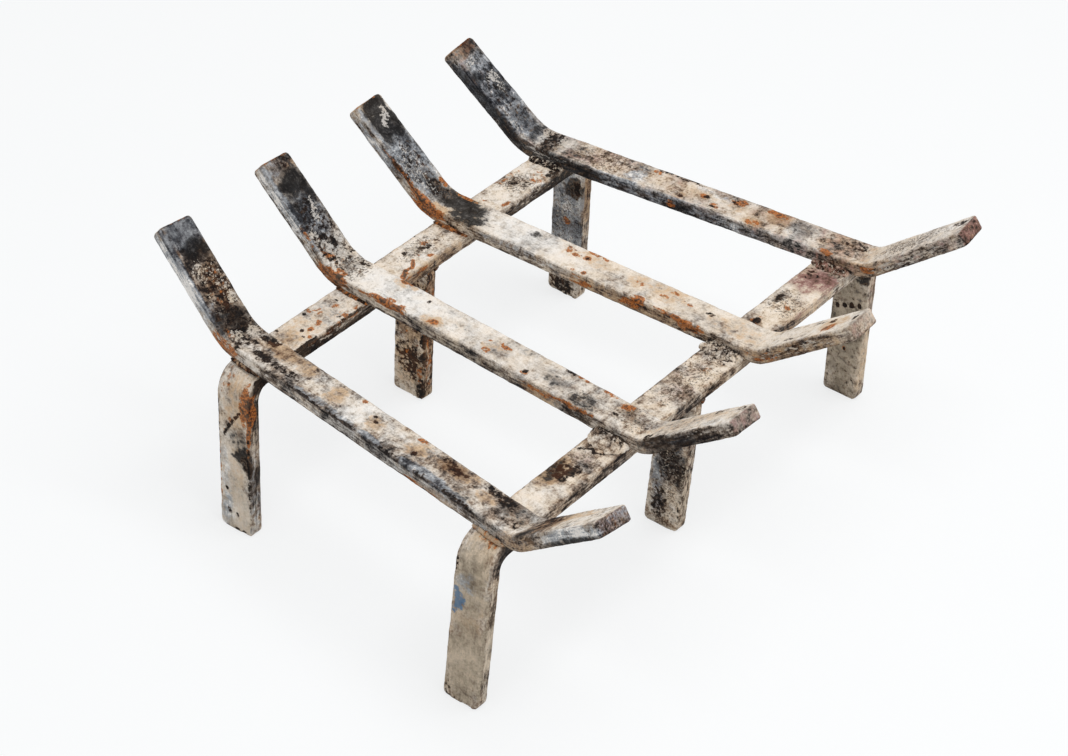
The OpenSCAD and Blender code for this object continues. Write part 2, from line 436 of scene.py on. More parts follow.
def select_faces(piece, wanted):
    """In edit mode, selects only the faces whose centre and normal pass the test."""
    bpy.ops.mesh.select_mode(type="FACE")
    bpy.ops.mesh.select_all(action="DESELECT")
    mesh = bmesh.from_edit_mesh(piece.data)
    for face in mesh.faces:
        face.select = wanted(face.calc_center_median(), face.normal)
    mesh.select_flush_mode()
    bmesh.update_edit_mesh(piece.data)


def sweep_end(piece, wanted, centre, axis, turn, steps, run):
    """Spins the wanted end face round a bend, and pulls it straight on from there."""
    bpy.ops.object.mode_set(mode="EDIT")
    select_faces(piece, wanted)
    bpy.ops.mesh.spin(steps=steps, angle=turn, center=centre, axis=axis)
    bpy.ops.mesh.extrude_region_move(TRANSFORM_OT_translate={"value": run})
    bpy.ops.object.mode_set(mode="OBJECT")


def close_up(piece):
    """Merges doubles, drops faces left inside and turns all normals outwards."""
    bpy.ops.object.mode_set(mode="EDIT")
    bpy.ops.mesh.select_all(action="SELECT")
    bpy.ops.mesh.remove_doubles(threshold=0.00001)
    bpy.ops.mesh.select_mode(type="FACE")
    bpy.ops.mesh.select_all(action="DESELECT")
    bpy.ops.mesh.select_interior_faces()
    bpy.ops.mesh.delete(type="FACE")
    bpy.ops.mesh.select_all(action="SELECT")
    bpy.ops.mesh.normals_make_consistent(inside=False)
    bpy.ops.object.mode_set(mode="OBJECT")


def apply_modifier(piece, kind, **settings):
    made = piece.modifiers.new(kind.title(), kind)
    for key, value in settings.items():
        setattr(made, key, value)
    bpy.context.view_layer.objects.active = piece
    bpy.ops.object.modifier_apply(modifier=made.name)


def blunt_corners(piece, radius):
    """Rounds the short edges at the ends of the stock, which are as long as it is thick."""
    bpy.ops.object.mode_set(mode="EDIT")
    bpy.ops.mesh.select_mode(type="EDGE")
    bpy.ops.mesh.select_all(action="DESELECT")
    mesh = bmesh.from_edit_mesh(piece.data)
    thick = sizes().stock_thickness
    for edge in mesh.edges:
        edge.select = abs(edge.calc_length() - thick) < 0.1 * MM and edge.calc_face_angle() > 1.0
    mesh.select_flush_mode()
    bmesh.update_edit_mesh(piece.data)
    bpy.ops.mesh.bevel(offset=radius, segments=4, affect="EDGES")
    bpy.ops.object.mode_set(mode="OBJECT")


def round_and_grain(piece, radius, grain):
    """Rounds the edges and turns the surface into an even fine mesh."""
    apply_modifier(piece, "BEVEL", width=radius, segments=3, limit_method="ANGLE", angle_limit=math.radians(40))
    apply_modifier(piece, "REMESH", mode="VOXEL", voxel_size=grain, use_smooth_shade=True)


def points_of(piece):
    flat = np.zeros(len(piece.data.vertices) * 3)
    piece.data.vertices.foreach_get("co", flat)
    return flat.reshape(-1, 3)


def set_points(piece, points):
    piece.data.vertices.foreach_set("co", points.ravel())
    piece.data.update()


def store(piece, name, values):
    """Keeps a number or a vector for each vertex, for the material to read."""
    vector = values.ndim == 2
    made = piece.data.attributes.new(name, "FLOAT_VECTOR" if vector else "FLOAT", "POINT")
    made.data.foreach_set("vector" if vector else "value", values.ravel().astype(np.float32))


def roughen(piece, name, size, depth, octaves=3):
    """Uneven scale: moves the surface in and out by up to half of depth, in lumps of the given size."""
    texture = bpy.data.textures.new(name, "CLOUDS")
    texture.noise_scale = size
    texture.noise_depth = octaves
    apply_modifier(piece, "DISPLACE", texture=texture, strength=depth, mid_level=0.5, texture_coords="LOCAL")
    bpy.data.textures.remove(texture)


def wander(stock, size, far):
    """A smooth drift for each point, of up to far millimetres, that changes over the given size."""
    return np.array([noise.noise_vector(Vector(p) / (size * MM)) for p in stock]) * far


def store_paints(piece, stock, dabs, base):
    """Paints soft dabs on the faces of the straight stock, in its own millimetres. A dab is a paint, its place
    along and across its face, its reach along and across, and its strength. On a side, across is the depth
    below the top face."""
    s = sizes()
    across, along = stock[:, 0] / MM, stock[:, 1] / MM
    half = s.stock_width / MM / 2
    depth = (s.stock_thickness - stock[:, 2]) / MM
    faces = {"top": (depth, across), "under": (s.stock_thickness / MM - depth, across),
             "left": (across + half, depth), "right": (half - across, depth)}
    weights = {p: np.full(len(stock), base.get(p, 0.0)) for p in PAINTS}
    below = np.clip(1 - faces["under"][0] / 2.5, 0, 1)
    drift = wander(stock, 16, 4.5) + wander(stock, 6, 1.8)
    for kind, strength in UNDERSIDE.items():
        weights[kind] += strength * below
    for face, (away_from_face, place) in faces.items():
        on_face = np.clip(1.6 - away_from_face / 1.5, 0, 1)
        for kind, dab_along, dab_across, reach_along, reach_across, strength in dabs.get(face, ()):
            shift = min(1.0, reach_along / 12)
            away = (((along + drift[:, 0] * shift - dab_along) / reach_along) ** 2
                    + ((place + drift[:, 1] * shift * min(1.0, reach_across / 8) - dab_across) / reach_across) ** 2)
            weights[kind] += strength * on_face * np.clip(1.25 - away, 0.0, 1.0)
    for end, place in (("front end", along - along.min()), ("rear end", along.max() - along)):
        for kind, strength in dabs.get(end, {}).items():
            weights[kind] += strength * np.clip(1.5 - place / 1.2, 0, 1)
    for kind, values in weights.items():
        store(piece, kind, np.clip(values, -1.0, 1.3))
    side, face = np.minimum(half - across, half + across), np.minimum(depth, s.stock_thickness / MM - depth)
    store(piece, "flank", np.clip(1.4 - side / 1.2, 0, 1) * np.clip(face / 1.5, 0, 1))
    store(piece, "arris", np.clip(1.0 - np.hypot(np.maximum(side, 0), np.maximum(face, 0)) / 2.2, 0.0, 1.0))


def keep_inside(piece):
    """Holds the worn surface within the part's own box, and its feet flat on the floor."""
    points = points_of(piece)
    low, high = CAD_BOX
    for axis in range(3):
        points[:, axis] = np.clip(points[:, axis], low[axis], high[axis])
    points[points[:, 2] < FOOT_WEAR * MM, 2] = 0.0
    set_points(piece, points)


def copy_of(piece):
    """A copy of a finished shape, with a mesh of its own."""
    begin()
    piece.select_set(True)
    bpy.context.view_layer.objects.active = piece
    bpy.ops.object.duplicate()
    return bpy.context.object


def place_piece(piece, location, turn=0.0):
    begin()
    piece.location = location
    piece.rotation_euler = (0.0, 0.0, turn)
    piece.select_set(True)
    bpy.context.view_layer.objects.active = piece
    bpy.ops.object.transform_apply(location=True, rotation=True, scale=True)


def hand_over(piece, node, material):
    """Gives the piece its material and lets it stand for its node."""
    piece.data.materials.clear()
    piece.data.materials.append(material)
    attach(piece, "root")
    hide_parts(node)


# -------------------------------------------------------------- stock space

def straightened_bar(points, front_turn):
    """Where each point of a bent bar lay in the straight stock: across, along, above the underside."""
    s = sizes()
    out = points.copy()
    for sign, run, radius, turn in ((1, s.rear_run, s.rear_bend, s.rear_slope),
                                    (-1, s.front_run, s.front_bend, front_turn)):
        outer = radius + s.stock_thickness
        start = run - outer * math.tan(turn / 2)
        past = points[:, 1] * sign - start
        bent = past > 0
        rise = outer - points[:, 2]
        phi = np.arctan2(past, rise)
        inside = bent & (phi < turn)
        beyond = bent & ~inside
        middle = radius + s.stock_thickness / 2
        out[inside, 1] = sign * (start + middle * phi[inside])
        out[inside, 2] = outer - np.hypot(past, rise)[inside]
        out[beyond, 1] = sign * (start + middle * turn + past * math.cos(turn) - rise * math.sin(turn))[beyond]
        out[beyond, 2] = (outer - past * math.sin(turn) - rise * math.cos(turn))[beyond]
    return out


def straightened_rail(points, half, leans):
    """The same for a rail along X whose ends turn down: across, along, above the underside."""
    s = sizes()
    out = np.empty_like(points)
    drop = s.leg_bend + s.stock_thickness
    height = rail_top() - drop
    middle = s.leg_bend + s.stock_thickness / 2
    out[:, 0], out[:, 1], out[:, 2] = points[:, 1], points[:, 0], points[:, 2] - (rail_top() - s.stock_thickness)
    for sign, (lean_x, lean_y) in ((1, leans["right"]), (-1, leans["left"])):
        past = points[:, 0] * sign - half
        rise = points[:, 2] - height
        bent = past > 0
        leg = bent & (rise < 0)
        inside = bent & ~leg
        phi = np.arctan2(past, rise)
        down = -rise / height
        out[inside, 1] = sign * (half + middle * phi[inside])
        out[inside, 2] = np.hypot(past, rise)[inside] - s.leg_bend
        out[leg, 1] = sign * (half + middle * math.pi / 2 - rise)[leg]
        out[leg, 2] = (past - sign * lean_x * MM * down - s.leg_bend)[leg]
        out[leg, 0] = (points[:, 1] - lean_y * MM * down)[leg]
    return out


# ----------------------------------------------------- what the fires left

# Each face lists its dabs: paint, along, across, reach along, reach across, strength
def line_of(kind, start, end, reach, strength):
    """Small dabs that run together into one thin line."""
    steps = round(math.dist(start, end) / reach)
    return [(kind, start[0] + (end[0] - start[0]) * i / steps, start[1] + (end[1] - start[1]) * i / steps,
             reach, reach, strength) for i in range(steps + 1)]


UNDERSIDE = {"light": -0.12, "smoke": 0.2, "crust": 0.15, "stain": 0.15, "mottle": 0.2}
SCALE = {  # how light and how warm the scale of each piece is
    "bar_1": (0.68, 0.38), "bar_2": (0.74, 0.42), "bar_3": (0.78, 0.66), "bar_4": (0.71, 0.46),
    "rear_rail": (0.78, 0.58), "front_rail": (0.73, 0.62),
    "rear_middle_leg": (0.68, 0.7), "front_middle_leg": (0.66, 0.55),
}
WEAR = {  # layers found all over each piece
    "bar_1": {"mottle": 0.5, "bare": 0.45, "crust": 0.02, "stain": 0.1},
    "bar_2": {"mottle": 0.35, "bare": 0.17, "stain": 0.06},
    "bar_3": {"mottle": 0.2, "bare": 0.14, "pits": 0.05, "stain": 0.1},
    "bar_4": {"mottle": 0.5, "bare": 0.45, "plum": 0.3, "pits": 0.04, "crust": 0.02, "stain": 0.08},
    "rear_rail": {"mottle": 0.4, "bare": 0.3, "pits": 0.05, "spots": 0.15, "stain": 0.1},
    "front_rail": {"mottle": 0.4, "bare": 0.35, "pits": 0.07, "crust": 0.02, "stain": 0.08},
    "rear_middle_leg": {"mottle": 0.9, "bare": 0.4, "crust": 0.12, "stain": 0.15},
    "front_middle_leg": {"mottle": 0.55, "bare": 0.45, "pits": 0.08, "crust": 0.12, "flecks": 0.1},
}
DABS = {
    "bar_1": {
        "top": [
            ("mottle", -185, 0, 20, 14, 0.4), ("light", 20, 0, 18, 26, 0.02), ("warm", 61, 0, 18, 16, -0.08),
            ("light", -20, 0, 18, 26, -0.02), ("light", -60, 0, 18, 26, -0.015),
            ("light", -143, 0, 18, 26, -0.03), ("light", 20, 0, 18, 26, 0.03), ("light", 184, 0, 18, 26, 0.03),
            ("light", -143, 0, 18, 26, -0.03),
            ("light", 61, 0, 18, 26, -0.06), ("light", -20, 0, 18, 26, -0.02), ("light", 10, 0, 14, 26, 0.04),
            ("light", -183, 0, 18, 26, 0.07), ("light", -143, 0, 18, 26, -0.06),
            ("light", -101, 0, 18, 26, -0.03), ("light", -60, 0, 18, 26, -0.02),
            ("light", -20, 0, 18, 26, -0.02), ("light", 21, 0, 18, 26, 0.07), ("light", 61, 0, 18, 26, -0.05),
            ("light", 102, 0, 18, 26, -0.02), ("light", 143, 0, 18, 26, 0.03),
            ("light", 184, 0, 18, 26, -0.03),
            ("light", -188, 0, 22, 16, 0.14), ("bare", -185, 0, 26, 14, -0.3), ("warm", -190, 0, 20, 14, 0.2),
            ("stain", -165, 6, 20, 7, 0.4), ("light", -143, 1, 17, 14, -0.17), ("stain", -146, 2, 20, 11, 0.5),
            ("crust", -147, 6, 11, 5, 0.5), ("crust", -136, 9, 7, 4, 0.6), ("crust", -144, -2, 10, 2, 0.4),
            ("smoke", -130, -8, 8, 6, 0.8), ("light", -122, 2, 4, 12, 0.15), ("smoke", -108, 6, 14, 7, 0.35),
            ("crust", -100, 7, 9, 5, 0.75), ("crust", -86, 9, 8, 3.5, 0.75), ("stain", -88, 3, 10, 6, 0.5),
            ("bare", -100, 0, 22, 12, 0.25), ("crust", -112, -2, 8, 6, 0.25), ("light", -60, 0, 22, 13, -0.06),
            ("stain", -58, 5, 18, 7, 0.8), ("crust", -62, 5, 11, 3, 0.55), ("crust", -52, 8, 9, 3, 0.5),
            ("light", -58, 6, 16, 6, -0.14), ("smoke", -76, -6, 8, 5, 0.3), ("stain", -31, 1, 11, 8, 0.75),
            ("crust", -31, -2, 2.6, 2.2, 0.95), ("rust", -26, 10, 5, 2, 0.6), ("light", -11, 2, 9, 10, 0.12),
            ("stain", 6, 1, 9, 7, 0.65), ("crust", 5, 2, 2, 2, 0.9), ("crust", 9, 5, 2, 1.5, 0.8),
            ("light", 21, -1, 9, 11, 0.16), ("warm", 21, 0, 9, 12, -0.25), ("rust", 24, 10, 3, 2, 0.7),
            ("stain", 40, 1, 8, 10, 0.6), ("light", 52, 1, 7, 9, 0.14), ("stain", 70, 7, 12, 7, 0.6),
            ("crust", 62, 11, 6, 3, 0.4), ("crust", 84, -5, 22, 4, 0.5), ("crust", 97, -6, 9, 5, 0.35),
            ("stain", 92, 6, 14, 7, 0.9), ("crust", 104, 8, 7, 5, 0.75), ("light", 78, 2, 20, 12, -0.04),
            ("film", -55, -10.3, 30, 3.8, 0.9), ("film", -36, -11.3, 11, 2.6, 1.0), ("film", -3, -11, 10, 3, 1.1),
            ("film", 34, -10.5, 36, 3.4, 0.7), ("crust", -74, -11.8, 12, 2.4, 0.4), ("crust", -48, -11.8, 8, 2, 0.3), ("light", -20, -11, 80, 4, -0.14),
            ("crust", -20, -12, 10, 1.6, 0.3), ("crust", 20, -12, 14, 1.5, 0.3), ("crust", 60, -12, 20, 1.6, 0.4),
            ("smoke", 132, 0, 14, 16, 0.75), ("crust", 118, 0, 12, 14, 0.45), ("flecks", 119, 6, 7, 5, 0.85),
            ("flecks", 124, -5, 7, 5, 0.6), ("rust", 127, -8, 5, 3, 0.5), ("crust", 134, 0, 12, 14, 0.4),
            ("light", 160, 0, 46, 30, -0.3), ("warm", 160, 3, 24, 12, 0.3), ("film", 140, -5, 14, 8, 0.5),
            ("crust", 160, 3, 20, 11, 0.5), ("rust", 158, 4, 18, 9, 0.24), ("stain", 158, 4, 17, 9, 0.45), ("flecks", 147, 8, 5, 4, 0.55),
            ("flecks", 160, 7, 15, 6, 0.36), ("flecks", 171, -3, 9, 6, 0.42), ("flecks", 152, -5, 8, 4, 0.3),
            ("smoke", 184, 3, 8, 10, 0.8), ("smoke", 178, 9, 8, 4, 0.5), ("film", 196, 0, 14, 16, 1.0),
            ("mottle", 198, 0, 9, 16, -0.5), ("bare", 198, 0, 9, 16, -0.4), ("light", 198, 0, 9, 14, -0.06),
            ("film", 165, -11.5, 45, 2, 0.9), ("stain", 188, -9, 5, 2, 0.7),
        ],
        "left": [
            ("light", 103, 5, 30, 9, 0.08),
            ("light", 103, 5, 30, 9, 0.08), ("light", 170, 5, 30, 9, 0.04), ("light", -33, 5, 30, 9, 0.03),
            ("light", -169, 5, 30, 9, 0.03), ("light", 103, 5, 30, 9, 0.1), ("light", 170, 5, 30, 9, 0.12),
            ("film", -180, 4, 30, 8, 0.8), ("light", -180, 4, 28, 7, 0.28), ("smoke", -176, 8.5, 30, 2.8, 0.75),
            ("crust", -143, 4, 12, 5, 0.3), ("stain", -125, 5, 20, 6, 0.5), ("crust", -86, 4, 8, 6, 0.5),
            ("light", 0, 5, 90, 5, 0.12), ("crust", 0, 1, 90, 1.2, 0.29), ("crust", 0, 9, 100, 1.3, 0.36),
            ("khaki", 0, 4, 80, 5, 0.2), ("warm", -60, 5, 150, 12, -0.3), ("film", -50, 4, 90, 6, 0.35), ("rust", -48, 8, 14, 2.5, 0.55), ("stain", -60, 7, 26, 4, 0.6),
            ("crust", 84, 5, 8, 6, 0.5), ("rust", 124, 5, 13, 5, 0.75), ("flecks", 130, 3, 12, 3, 0.4),
            ("crust", 118, 8, 9, 2.5, 0.29), ("film", 172, 5, 34, 8, 1.2), ("light", 168, 5, 36, 8, 0.33), ("mottle", 168, 5, 40, 9, -0.3),
            ("bare", 170, 5, 36, 8, -0.4),
        ],
        "front end": {"rust": 0.14, "film": 0.5, "plum": 0.5, "light": -0.24, "crust": 0.1, "stain": 0.3, "mottle": 0.3},
        "rear end": {"stain": 0.5, "rust": 0.2, "light": -0.2},
    },
    "bar_2": {
        "top": [
            ("mottle", -165, 0, 40, 14, 0.25), ("light", -101, 0, 18, 26, -0.015),
            ("light", 184, 0, 18, 26, 0.07), ("light", -20, 0, 18, 26, -0.03), ("light", 143, 0, 18, 26, 0.03),
            ("light", -183, 0, 18, 26, 0.06), ("light", -143, 0, 18, 26, 0.02),
            ("light", -101, 0, 18, 26, -0.05), ("light", -60, 0, 18, 26, -0.03),
            ("light", 21, 0, 18, 26, 0.03), ("light", 61, 0, 18, 26, 0.06), ("light", 102, 0, 18, 26, 0.08),
            ("mottle", -20, 0, 50, 16, -0.25), ("bare", 20, 0, 60, 16, -0.2), ("stain", -150, 3, 44, 9, 0.3), ("warm", -145, 0, 30, 12, 0.25), ("film", -184, -8, 14, 5, 0.4),
            ("crust", -196, 7, 5, 3, 0.5), ("crust", -175, 9, 5, 2.5, 0.6), ("bare", -182, 5, 18, 8, 0.2),
            ("crust", -129, -8, 4, 3, 0.95), ("crust", -140, -11, 12, 2, 0.5), ("bare", -108, 1, 18, 12, 0.25),
            ("mottle", -108, 0, 18, 13, 0.3), ("pits", -108, 2, 18, 12, 0.28), ("smoke", -106, 5, 12, 7, 0.3),
            ("rust", -98, 8, 6, 4, 0.7), ("stain", -100, 6, 9, 6, 0.5), ("crust", -97, -2, 3, 2, 0.5),
            ("light", -95, 0, 40, 14, -0.05), ("smoke", -75, -6, 11, 7, 0.6), ("pits", -75, -5, 16, 9, 0.3),
            ("rust", -82, 11, 6, 2, 0.7), ("rust", -62, 11, 7, 2, 0.6), ("crust", -52, 11, 5, 2, 0.6),
            ("smoke", -50, -3, 9, 7, 0.45), ("smoke", -20, 8, 6, 5, 0.3), ("crust", -31, -7, 2.5, 2.5, 0.7),
            ("rust", -31, -8, 3.5, 3, 0.5), ("rust", -8, 3, 4, 2.5, 0.75), ("rust", -2, 5, 3, 2, 0.6),
            ("rust", 0, -7, 3.5, 2.8, 0.85), ("stain", -2, -2, 10, 8, 0.45), ("rust", 4, 2, 2, 1.5, 0.5),
            ("smoke", 25, 1, 8, 5, 0.25), ("light", 22, 0, 22, 13, 0.06), ("rust", 43, -8, 4.5, 3.2, 0.85),
            ("stain", 43, -8, 8, 6, 0.7), ("crust", 57, 6, 1.5, 3, 0.8), ("light", 65, 0, 28, 14, 0.14),
            ("warm", 75, 0, 34, 14, -0.3), ("rust", 66, -11.5, 8, 1.8, 0.85), ("rust", 80, -11.5, 9, 1.8, 0.85),
            ("rust", 66, -9, 4, 2, 0.6), ("rust", 76, -9, 4, 2.5, 0.75), ("rust", 81, 11, 7, 2.2, 0.8),
            ("stain", 80, 9, 10, 4, 0.6), ("light", 98, 0, 16, 12, 0.14), ("pits", 113, 0, 12, 13, 0.4),
            ("mottle", 130, 0, 36, 14, 0.5), ("smoke", 121, 1, 10, 13, 0.42), ("rust", 118, -9, 5, 4, 0.7),
            ("crust", 113, 9, 5, 3, 0.6), ("crust", 132, 0, 16, 13, 0.42), ("flecks", 131, 3, 7, 6, 0.75),
            ("flecks", 140, -3, 6, 5, 0.7), ("flecks", 143, 8, 5, 4, 0.7), ("rust", 134, -3, 12, 8, 0.35),
            ("film", 163, 0, 22, 14, 0.8), ("light", 168, 0, 36, 30, -0.34), ("bare", 160, 0, 26, 14, 0.3),
            ("crust", 156, 0, 24, 13, 0.36), ("flecks", 150, -7, 6, 4, 0.55), ("flecks", 161, 3, 6, 4, 0.55),
            ("flecks", 168, 6, 6, 3, 0.5), ("smoke", 186, 1, 9, 12, 1.2), ("smoke", 178, 8, 8, 5, 0.6),
            ("light", 199, 0, 8, 16, -0.22), ("stain", 199, 2, 8, 12, 0.4), ("film", 199, -4, 7, 10, 0.5),
            ("crust", 199, 4, 6, 8, 0.3), ("film", 170, -11, 40, 2.4, 0.8), ("warm", 165, 0, 42, 16, -0.4),
        ],
        "left": [
            ("light", 170, 5, 30, 9, -0.04), ("light", 35, 5, 30, 9, 0.03),
            ("light", -169, 5, 30, 9, -0.04), ("light", -101, 5, 30, 9, -0.04), ("light", 103, 5, 30, 9, 0.05),
            ("light", -101, 5, 30, 9, -0.05), ("light", 170, 5, 30, 9, 0.04),
            ("light", -169, 5, 30, 9, 0.03), ("light", -101, 5, 30, 9, -0.02), ("light", -33, 5, 30, 9, -0.05),
            ("light", 35, 5, 30, 9, -0.06), ("light", 103, 5, 30, 9, 0.04), ("light", 170, 5, 30, 9, 0.06),
            ("crust", -165, 5, 46, 8, 0.42), ("smoke", -150, 6, 34, 8, 0.45), ("light", -165, 5, 46, 8, -0.2), ("flecks", -180, 3, 26, 2, 0.3),
            ("film", -158, 4, 14, 4, 0.7), ("crust", -78, 5, 14, 6, 0.5), ("rust", -72, 1.5, 22, 2, 0.6),
            ("stain", -45, 5, 18, 6, 0.7), ("rust", -45, 3, 14, 3, 0.45), ("crust", -10, 6, 40, 4, 0.22),
            ("crust", 60, 8.5, 60, 1.5, 0.43), ("light", 35, 4, 50, 8, -0.08), ("khaki", 20, 4, 60, 5, 0.4),
            ("rust", 80, 2, 26, 2, 0.6), ("rust", 122, 4, 14, 6, 0.9), ("crust", 116, 7, 10, 3, 0.36),
            ("film", 172, 4, 34, 8, 0.8), ("light", 175, 4, 30, 6, 0.3), ("rust", 150, 1.5, 12, 2, 0.5),
            ("crust", 160, 8, 36, 2, 0.36), ("mottle", 170, 5, 36, 8, 0.5),
        ],
        "front end": {"crust": 0.14, "light": -0.2, "stain": 0.15, "plum": 0.5, "film": 0.2},
        "rear end": {"rust": 0.3, "stain": 0.4, "light": -0.2},
    },
    "bar_3": {
        "top": [
            ("mottle", -145, 0, 22, 14, 0.4), ("light", -183, 0, 18, 26, 0.045), ("light", 102, 0, 16, 26, 0.03),
            ("light", -183, 0, 18, 26, 0.04), ("light", 21, 0, 18, 26, 0.04), ("light", 102, 0, 16, 26, 0.04),
            ("light", 102, 0, 16, 26, -0.1),
            ("light", 184, 0, 18, 26, 0.1), ("light", 143, 0, 18, 26, 0.04), ("light", -183, 0, 18, 26, 0.04),
            ("light", 21, 0, 16, 26, 0.03), ("light", -60, 0, 18, 26, -0.02),
            ("light", -183, 0, 18, 26, 0.09), ("light", -143, 0, 18, 26, 0.04),
            ("light", -101, 0, 18, 26, -0.02), ("light", 21, 0, 18, 26, 0.08), ("light", 61, 0, 18, 26, 0.03),
            ("rust", -181, -4, 6, 5, 0.7), ("crust", -178, 5, 3, 3, 0.8), ("stain", -182, 0, 12, 9, 0.6),
            ("crust", -198, 2, 3, 3, 0.5), ("crust", -168, 7, 5, 2, 0.4), ("crust", -150, -6, 6, 2, 0.35),
            ("bare", -180, 4, 16, 8, 0.25), ("light", -150, 0, 30, 14, 0.06), ("stain", -100, 0, 24, 10, 0.3),
            ("crust", -81, 3, 3.5, 2, 0.75), ("rust", -66, 3, 2.5, 2, 0.55), ("stain", -50, 4, 14, 10, 0.5),
            ("rust", -52, 7, 4, 3, 0.6), ("rust", -48, 1, 3.5, 2.5, 0.65), ("spots", -55, 2, 34, 10, 0.35),
            ("rust", -28, 4, 6, 5, 0.38), ("stain", -26, 4, 9, 8, 0.5), ("rust", -37, -11, 7, 2.6, 0.85),
            ("rust", -60, -12, 16, 1.5, 0.5), ("stain", 10, 5, 20, 8, 0.4), ("rust", 8, 11, 10, 2, 0.65),
            ("rust", 12, 4, 3.5, 3, 0.65), ("crust", 12, 4, 1.6, 1.6, 0.8), ("rust", 20, 3, 3, 2, 0.6),
            ("rust", 26, 6, 3, 4, 0.65), ("rust", 5, -10, 3, 2, 0.8), ("rust", 13, -11, 2.5, 1.5, 0.7),
            ("spots", 18, 5, 14, 8, 0.5), ("light", 20, 0, 24, 14, 0.05), ("warm", 60, 0, 34, 16, -0.55),
            ("light", 60, 0, 28, 14, 0.06), ("smoke", 51, 5, 7, 4, 0.5), ("bare", 70, 0, 18, 10, 0.15),
            ("smoke", 95, -5, 15, 11, 0.65), ("smoke", 104, 2, 16, 12, 0.6), ("smoke", 114, 4, 15, 9, 0.7), ("mottle", 106, 0, 26, 14, 0.6),
            ("smoke", 126, 2, 14, 9, 0.6), ("smoke", 90, -9, 6, 4, 0.5), ("crust", 128, 4, 14, 8, 0.3),
            ("rust", 111, 11, 9, 2.5, 0.7), ("stain", 110, 10, 10, 3.5, 0.9), ("stain", 117, -9, 10, 4, 0.9),
            ("light", 116, -8, 10, 4, 0.1), ("rust", 133, 10, 6, 2.2, 0.7), ("rust", 130, -11, 10, 2, 0.6),
            ("warm", 162, 0, 44, 20, -0.9), ("light", 160, 0, 42, 30, -0.26), ("film", 156, 0, 30, 16, 1.1),
            ("mottle", 158, 0, 34, 16, 0.6), ("smoke", 140, 4, 10, 7, 0.5), ("crust", 152, 0, 24, 12, 0.3),
            ("flecks", 150, -2, 26, 11, 0.3), ("stain", 150, 4, 9, 5, 0.5), ("smoke", 170, 6, 8, 5, 0.5),
            ("smoke", 183, 5, 10, 8, 1.0), ("smoke", 192, -2, 13, 11, 1.2), ("smoke", 178, -6, 7, 5, 0.7),
            ("smoke", 201, 6, 6, 8, 0.8), ("flecks", 186, 0, 4, 2.5, 0.75), ("flecks", 190, 4, 4, 4, 0.7),
            ("flecks", 195, 6, 3.5, 2.5, 0.65), ("light", 202, 0, 5, 16, -0.2), ("film", 190, -11, 20, 2.5, 0.8),
        ],
        "left": [
            ("light", 35, 5, 30, 9, 0.04), ("light", -169, 5, 30, 9, -0.03),
            ("light", -169, 5, 30, 9, -0.04), ("light", 103, 5, 30, 9, -0.05), ("light", 35, 5, 30, 9, 0.03),
            ("light", -169, 5, 30, 9, -0.06), ("light", -101, 5, 30, 9, -0.04),
            ("light", -33, 5, 30, 9, -0.03), ("light", 103, 5, 30, 9, -0.09), ("light", 170, 5, 30, 9, -0.07),
            ("crust", -160, 5, 48, 8, 0.24), ("light", -160, 5, 50, 8, -0.08), ("stain", -150, 5, 46, 8, 0.5),
            ("flecks", -160, 5, 42, 5, 0.3), ("rust", -130, 5, 18, 4, 0.4), ("crust", -80, 6, 20, 5, 0.32),
            ("rust", -74, 3, 12, 4, 0.7), ("rust", -32, 4, 12, 5, 0.75), ("rust", 6, 5, 10, 4, 0.55),
            ("stain", -30, 5, 60, 6, 0.6), ("light", -30, 5, 50, 8, -0.1), ("crust", 60, 6, 50, 4, 0.22),
            ("film", 50, 3, 50, 3, 0.5), ("rust", 125, 4, 16, 6, 0.85), ("rust", 150, 1.5, 22, 2, 0.7),
            ("film", 175, 6, 32, 6, 0.8), ("light", 172, 6, 34, 6, 0.1), ("crust", 165, 1.5, 30, 2, 0.4),
            ("mottle", 0, 5, 220, 9, 0.3),
        ],
        "front end": {"crust": 0.1, "light": -0.14, "stain": 0.2, "plum": 0.4, "mottle": 0.1},
        "rear end": {"rust": 0.3, "stain": 0.4, "light": -0.2},
    },
    "bar_4": {
        "top": [
            ("pits", -148, 0, 24, 12, 0.25), ("mottle", -150, 0, 24, 14, 0.5), ("mottle", 62, 0, 20, 14, 0.3), ("light", -101, 0, 18, 26, 0.035), ("light", 21, 0, 18, 26, 0.02), ("light", 61, 0, 18, 26, 0.02), ("warm", -60, 0, 18, 16, -0.12), ("warm", 102, 0, 16, 16, -0.08),
            ("light", 184, 0, 16, 26, -0.04), ("light", 143, 0, 18, 26, 0.05), ("light", 61, 0, 18, 26, -0.04),
            ("light", 102, 0, 16, 26, -0.04), ("light", 21, 0, 16, 26, 0.02),
            ("light", -183, 0, 18, 26, 0.06), ("light", -143, 0, 18, 26, 0.08),
            ("light", -101, 0, 18, 26, -0.03), ("light", -60, 0, 18, 26, -0.07),
            ("light", 21, 0, 18, 26, 0.03), ("light", 102, 0, 18, 26, -0.04), ("light", 143, 0, 18, 26, 0.03),
            ("light", 184, 0, 18, 26, -0.09),
            ("bare", -165, 0, 44, 15, -0.3), ("warm", -142, 0, 22, 14, 0.25), ("film", -190, 4, 14, 7, 0.4),
            ("crust", -194, 6, 8, 4, 0.5), ("pits", -165, 0, 34, 10, 0.3), ("light", -160, 0, 44, 16, 0.08),
            ("smoke", -172, 3, 8, 4, 0.25), ("stain", -122, 0, 5, 12, 0.4), ("light", -101, 1, 15, 13, -0.1),
            ("stain", -101, 0, 15, 13, 0.4), ("bare", -102, 2, 17, 12, 0.3), ("mottle", -100, 0, 20, 13, 0.3),
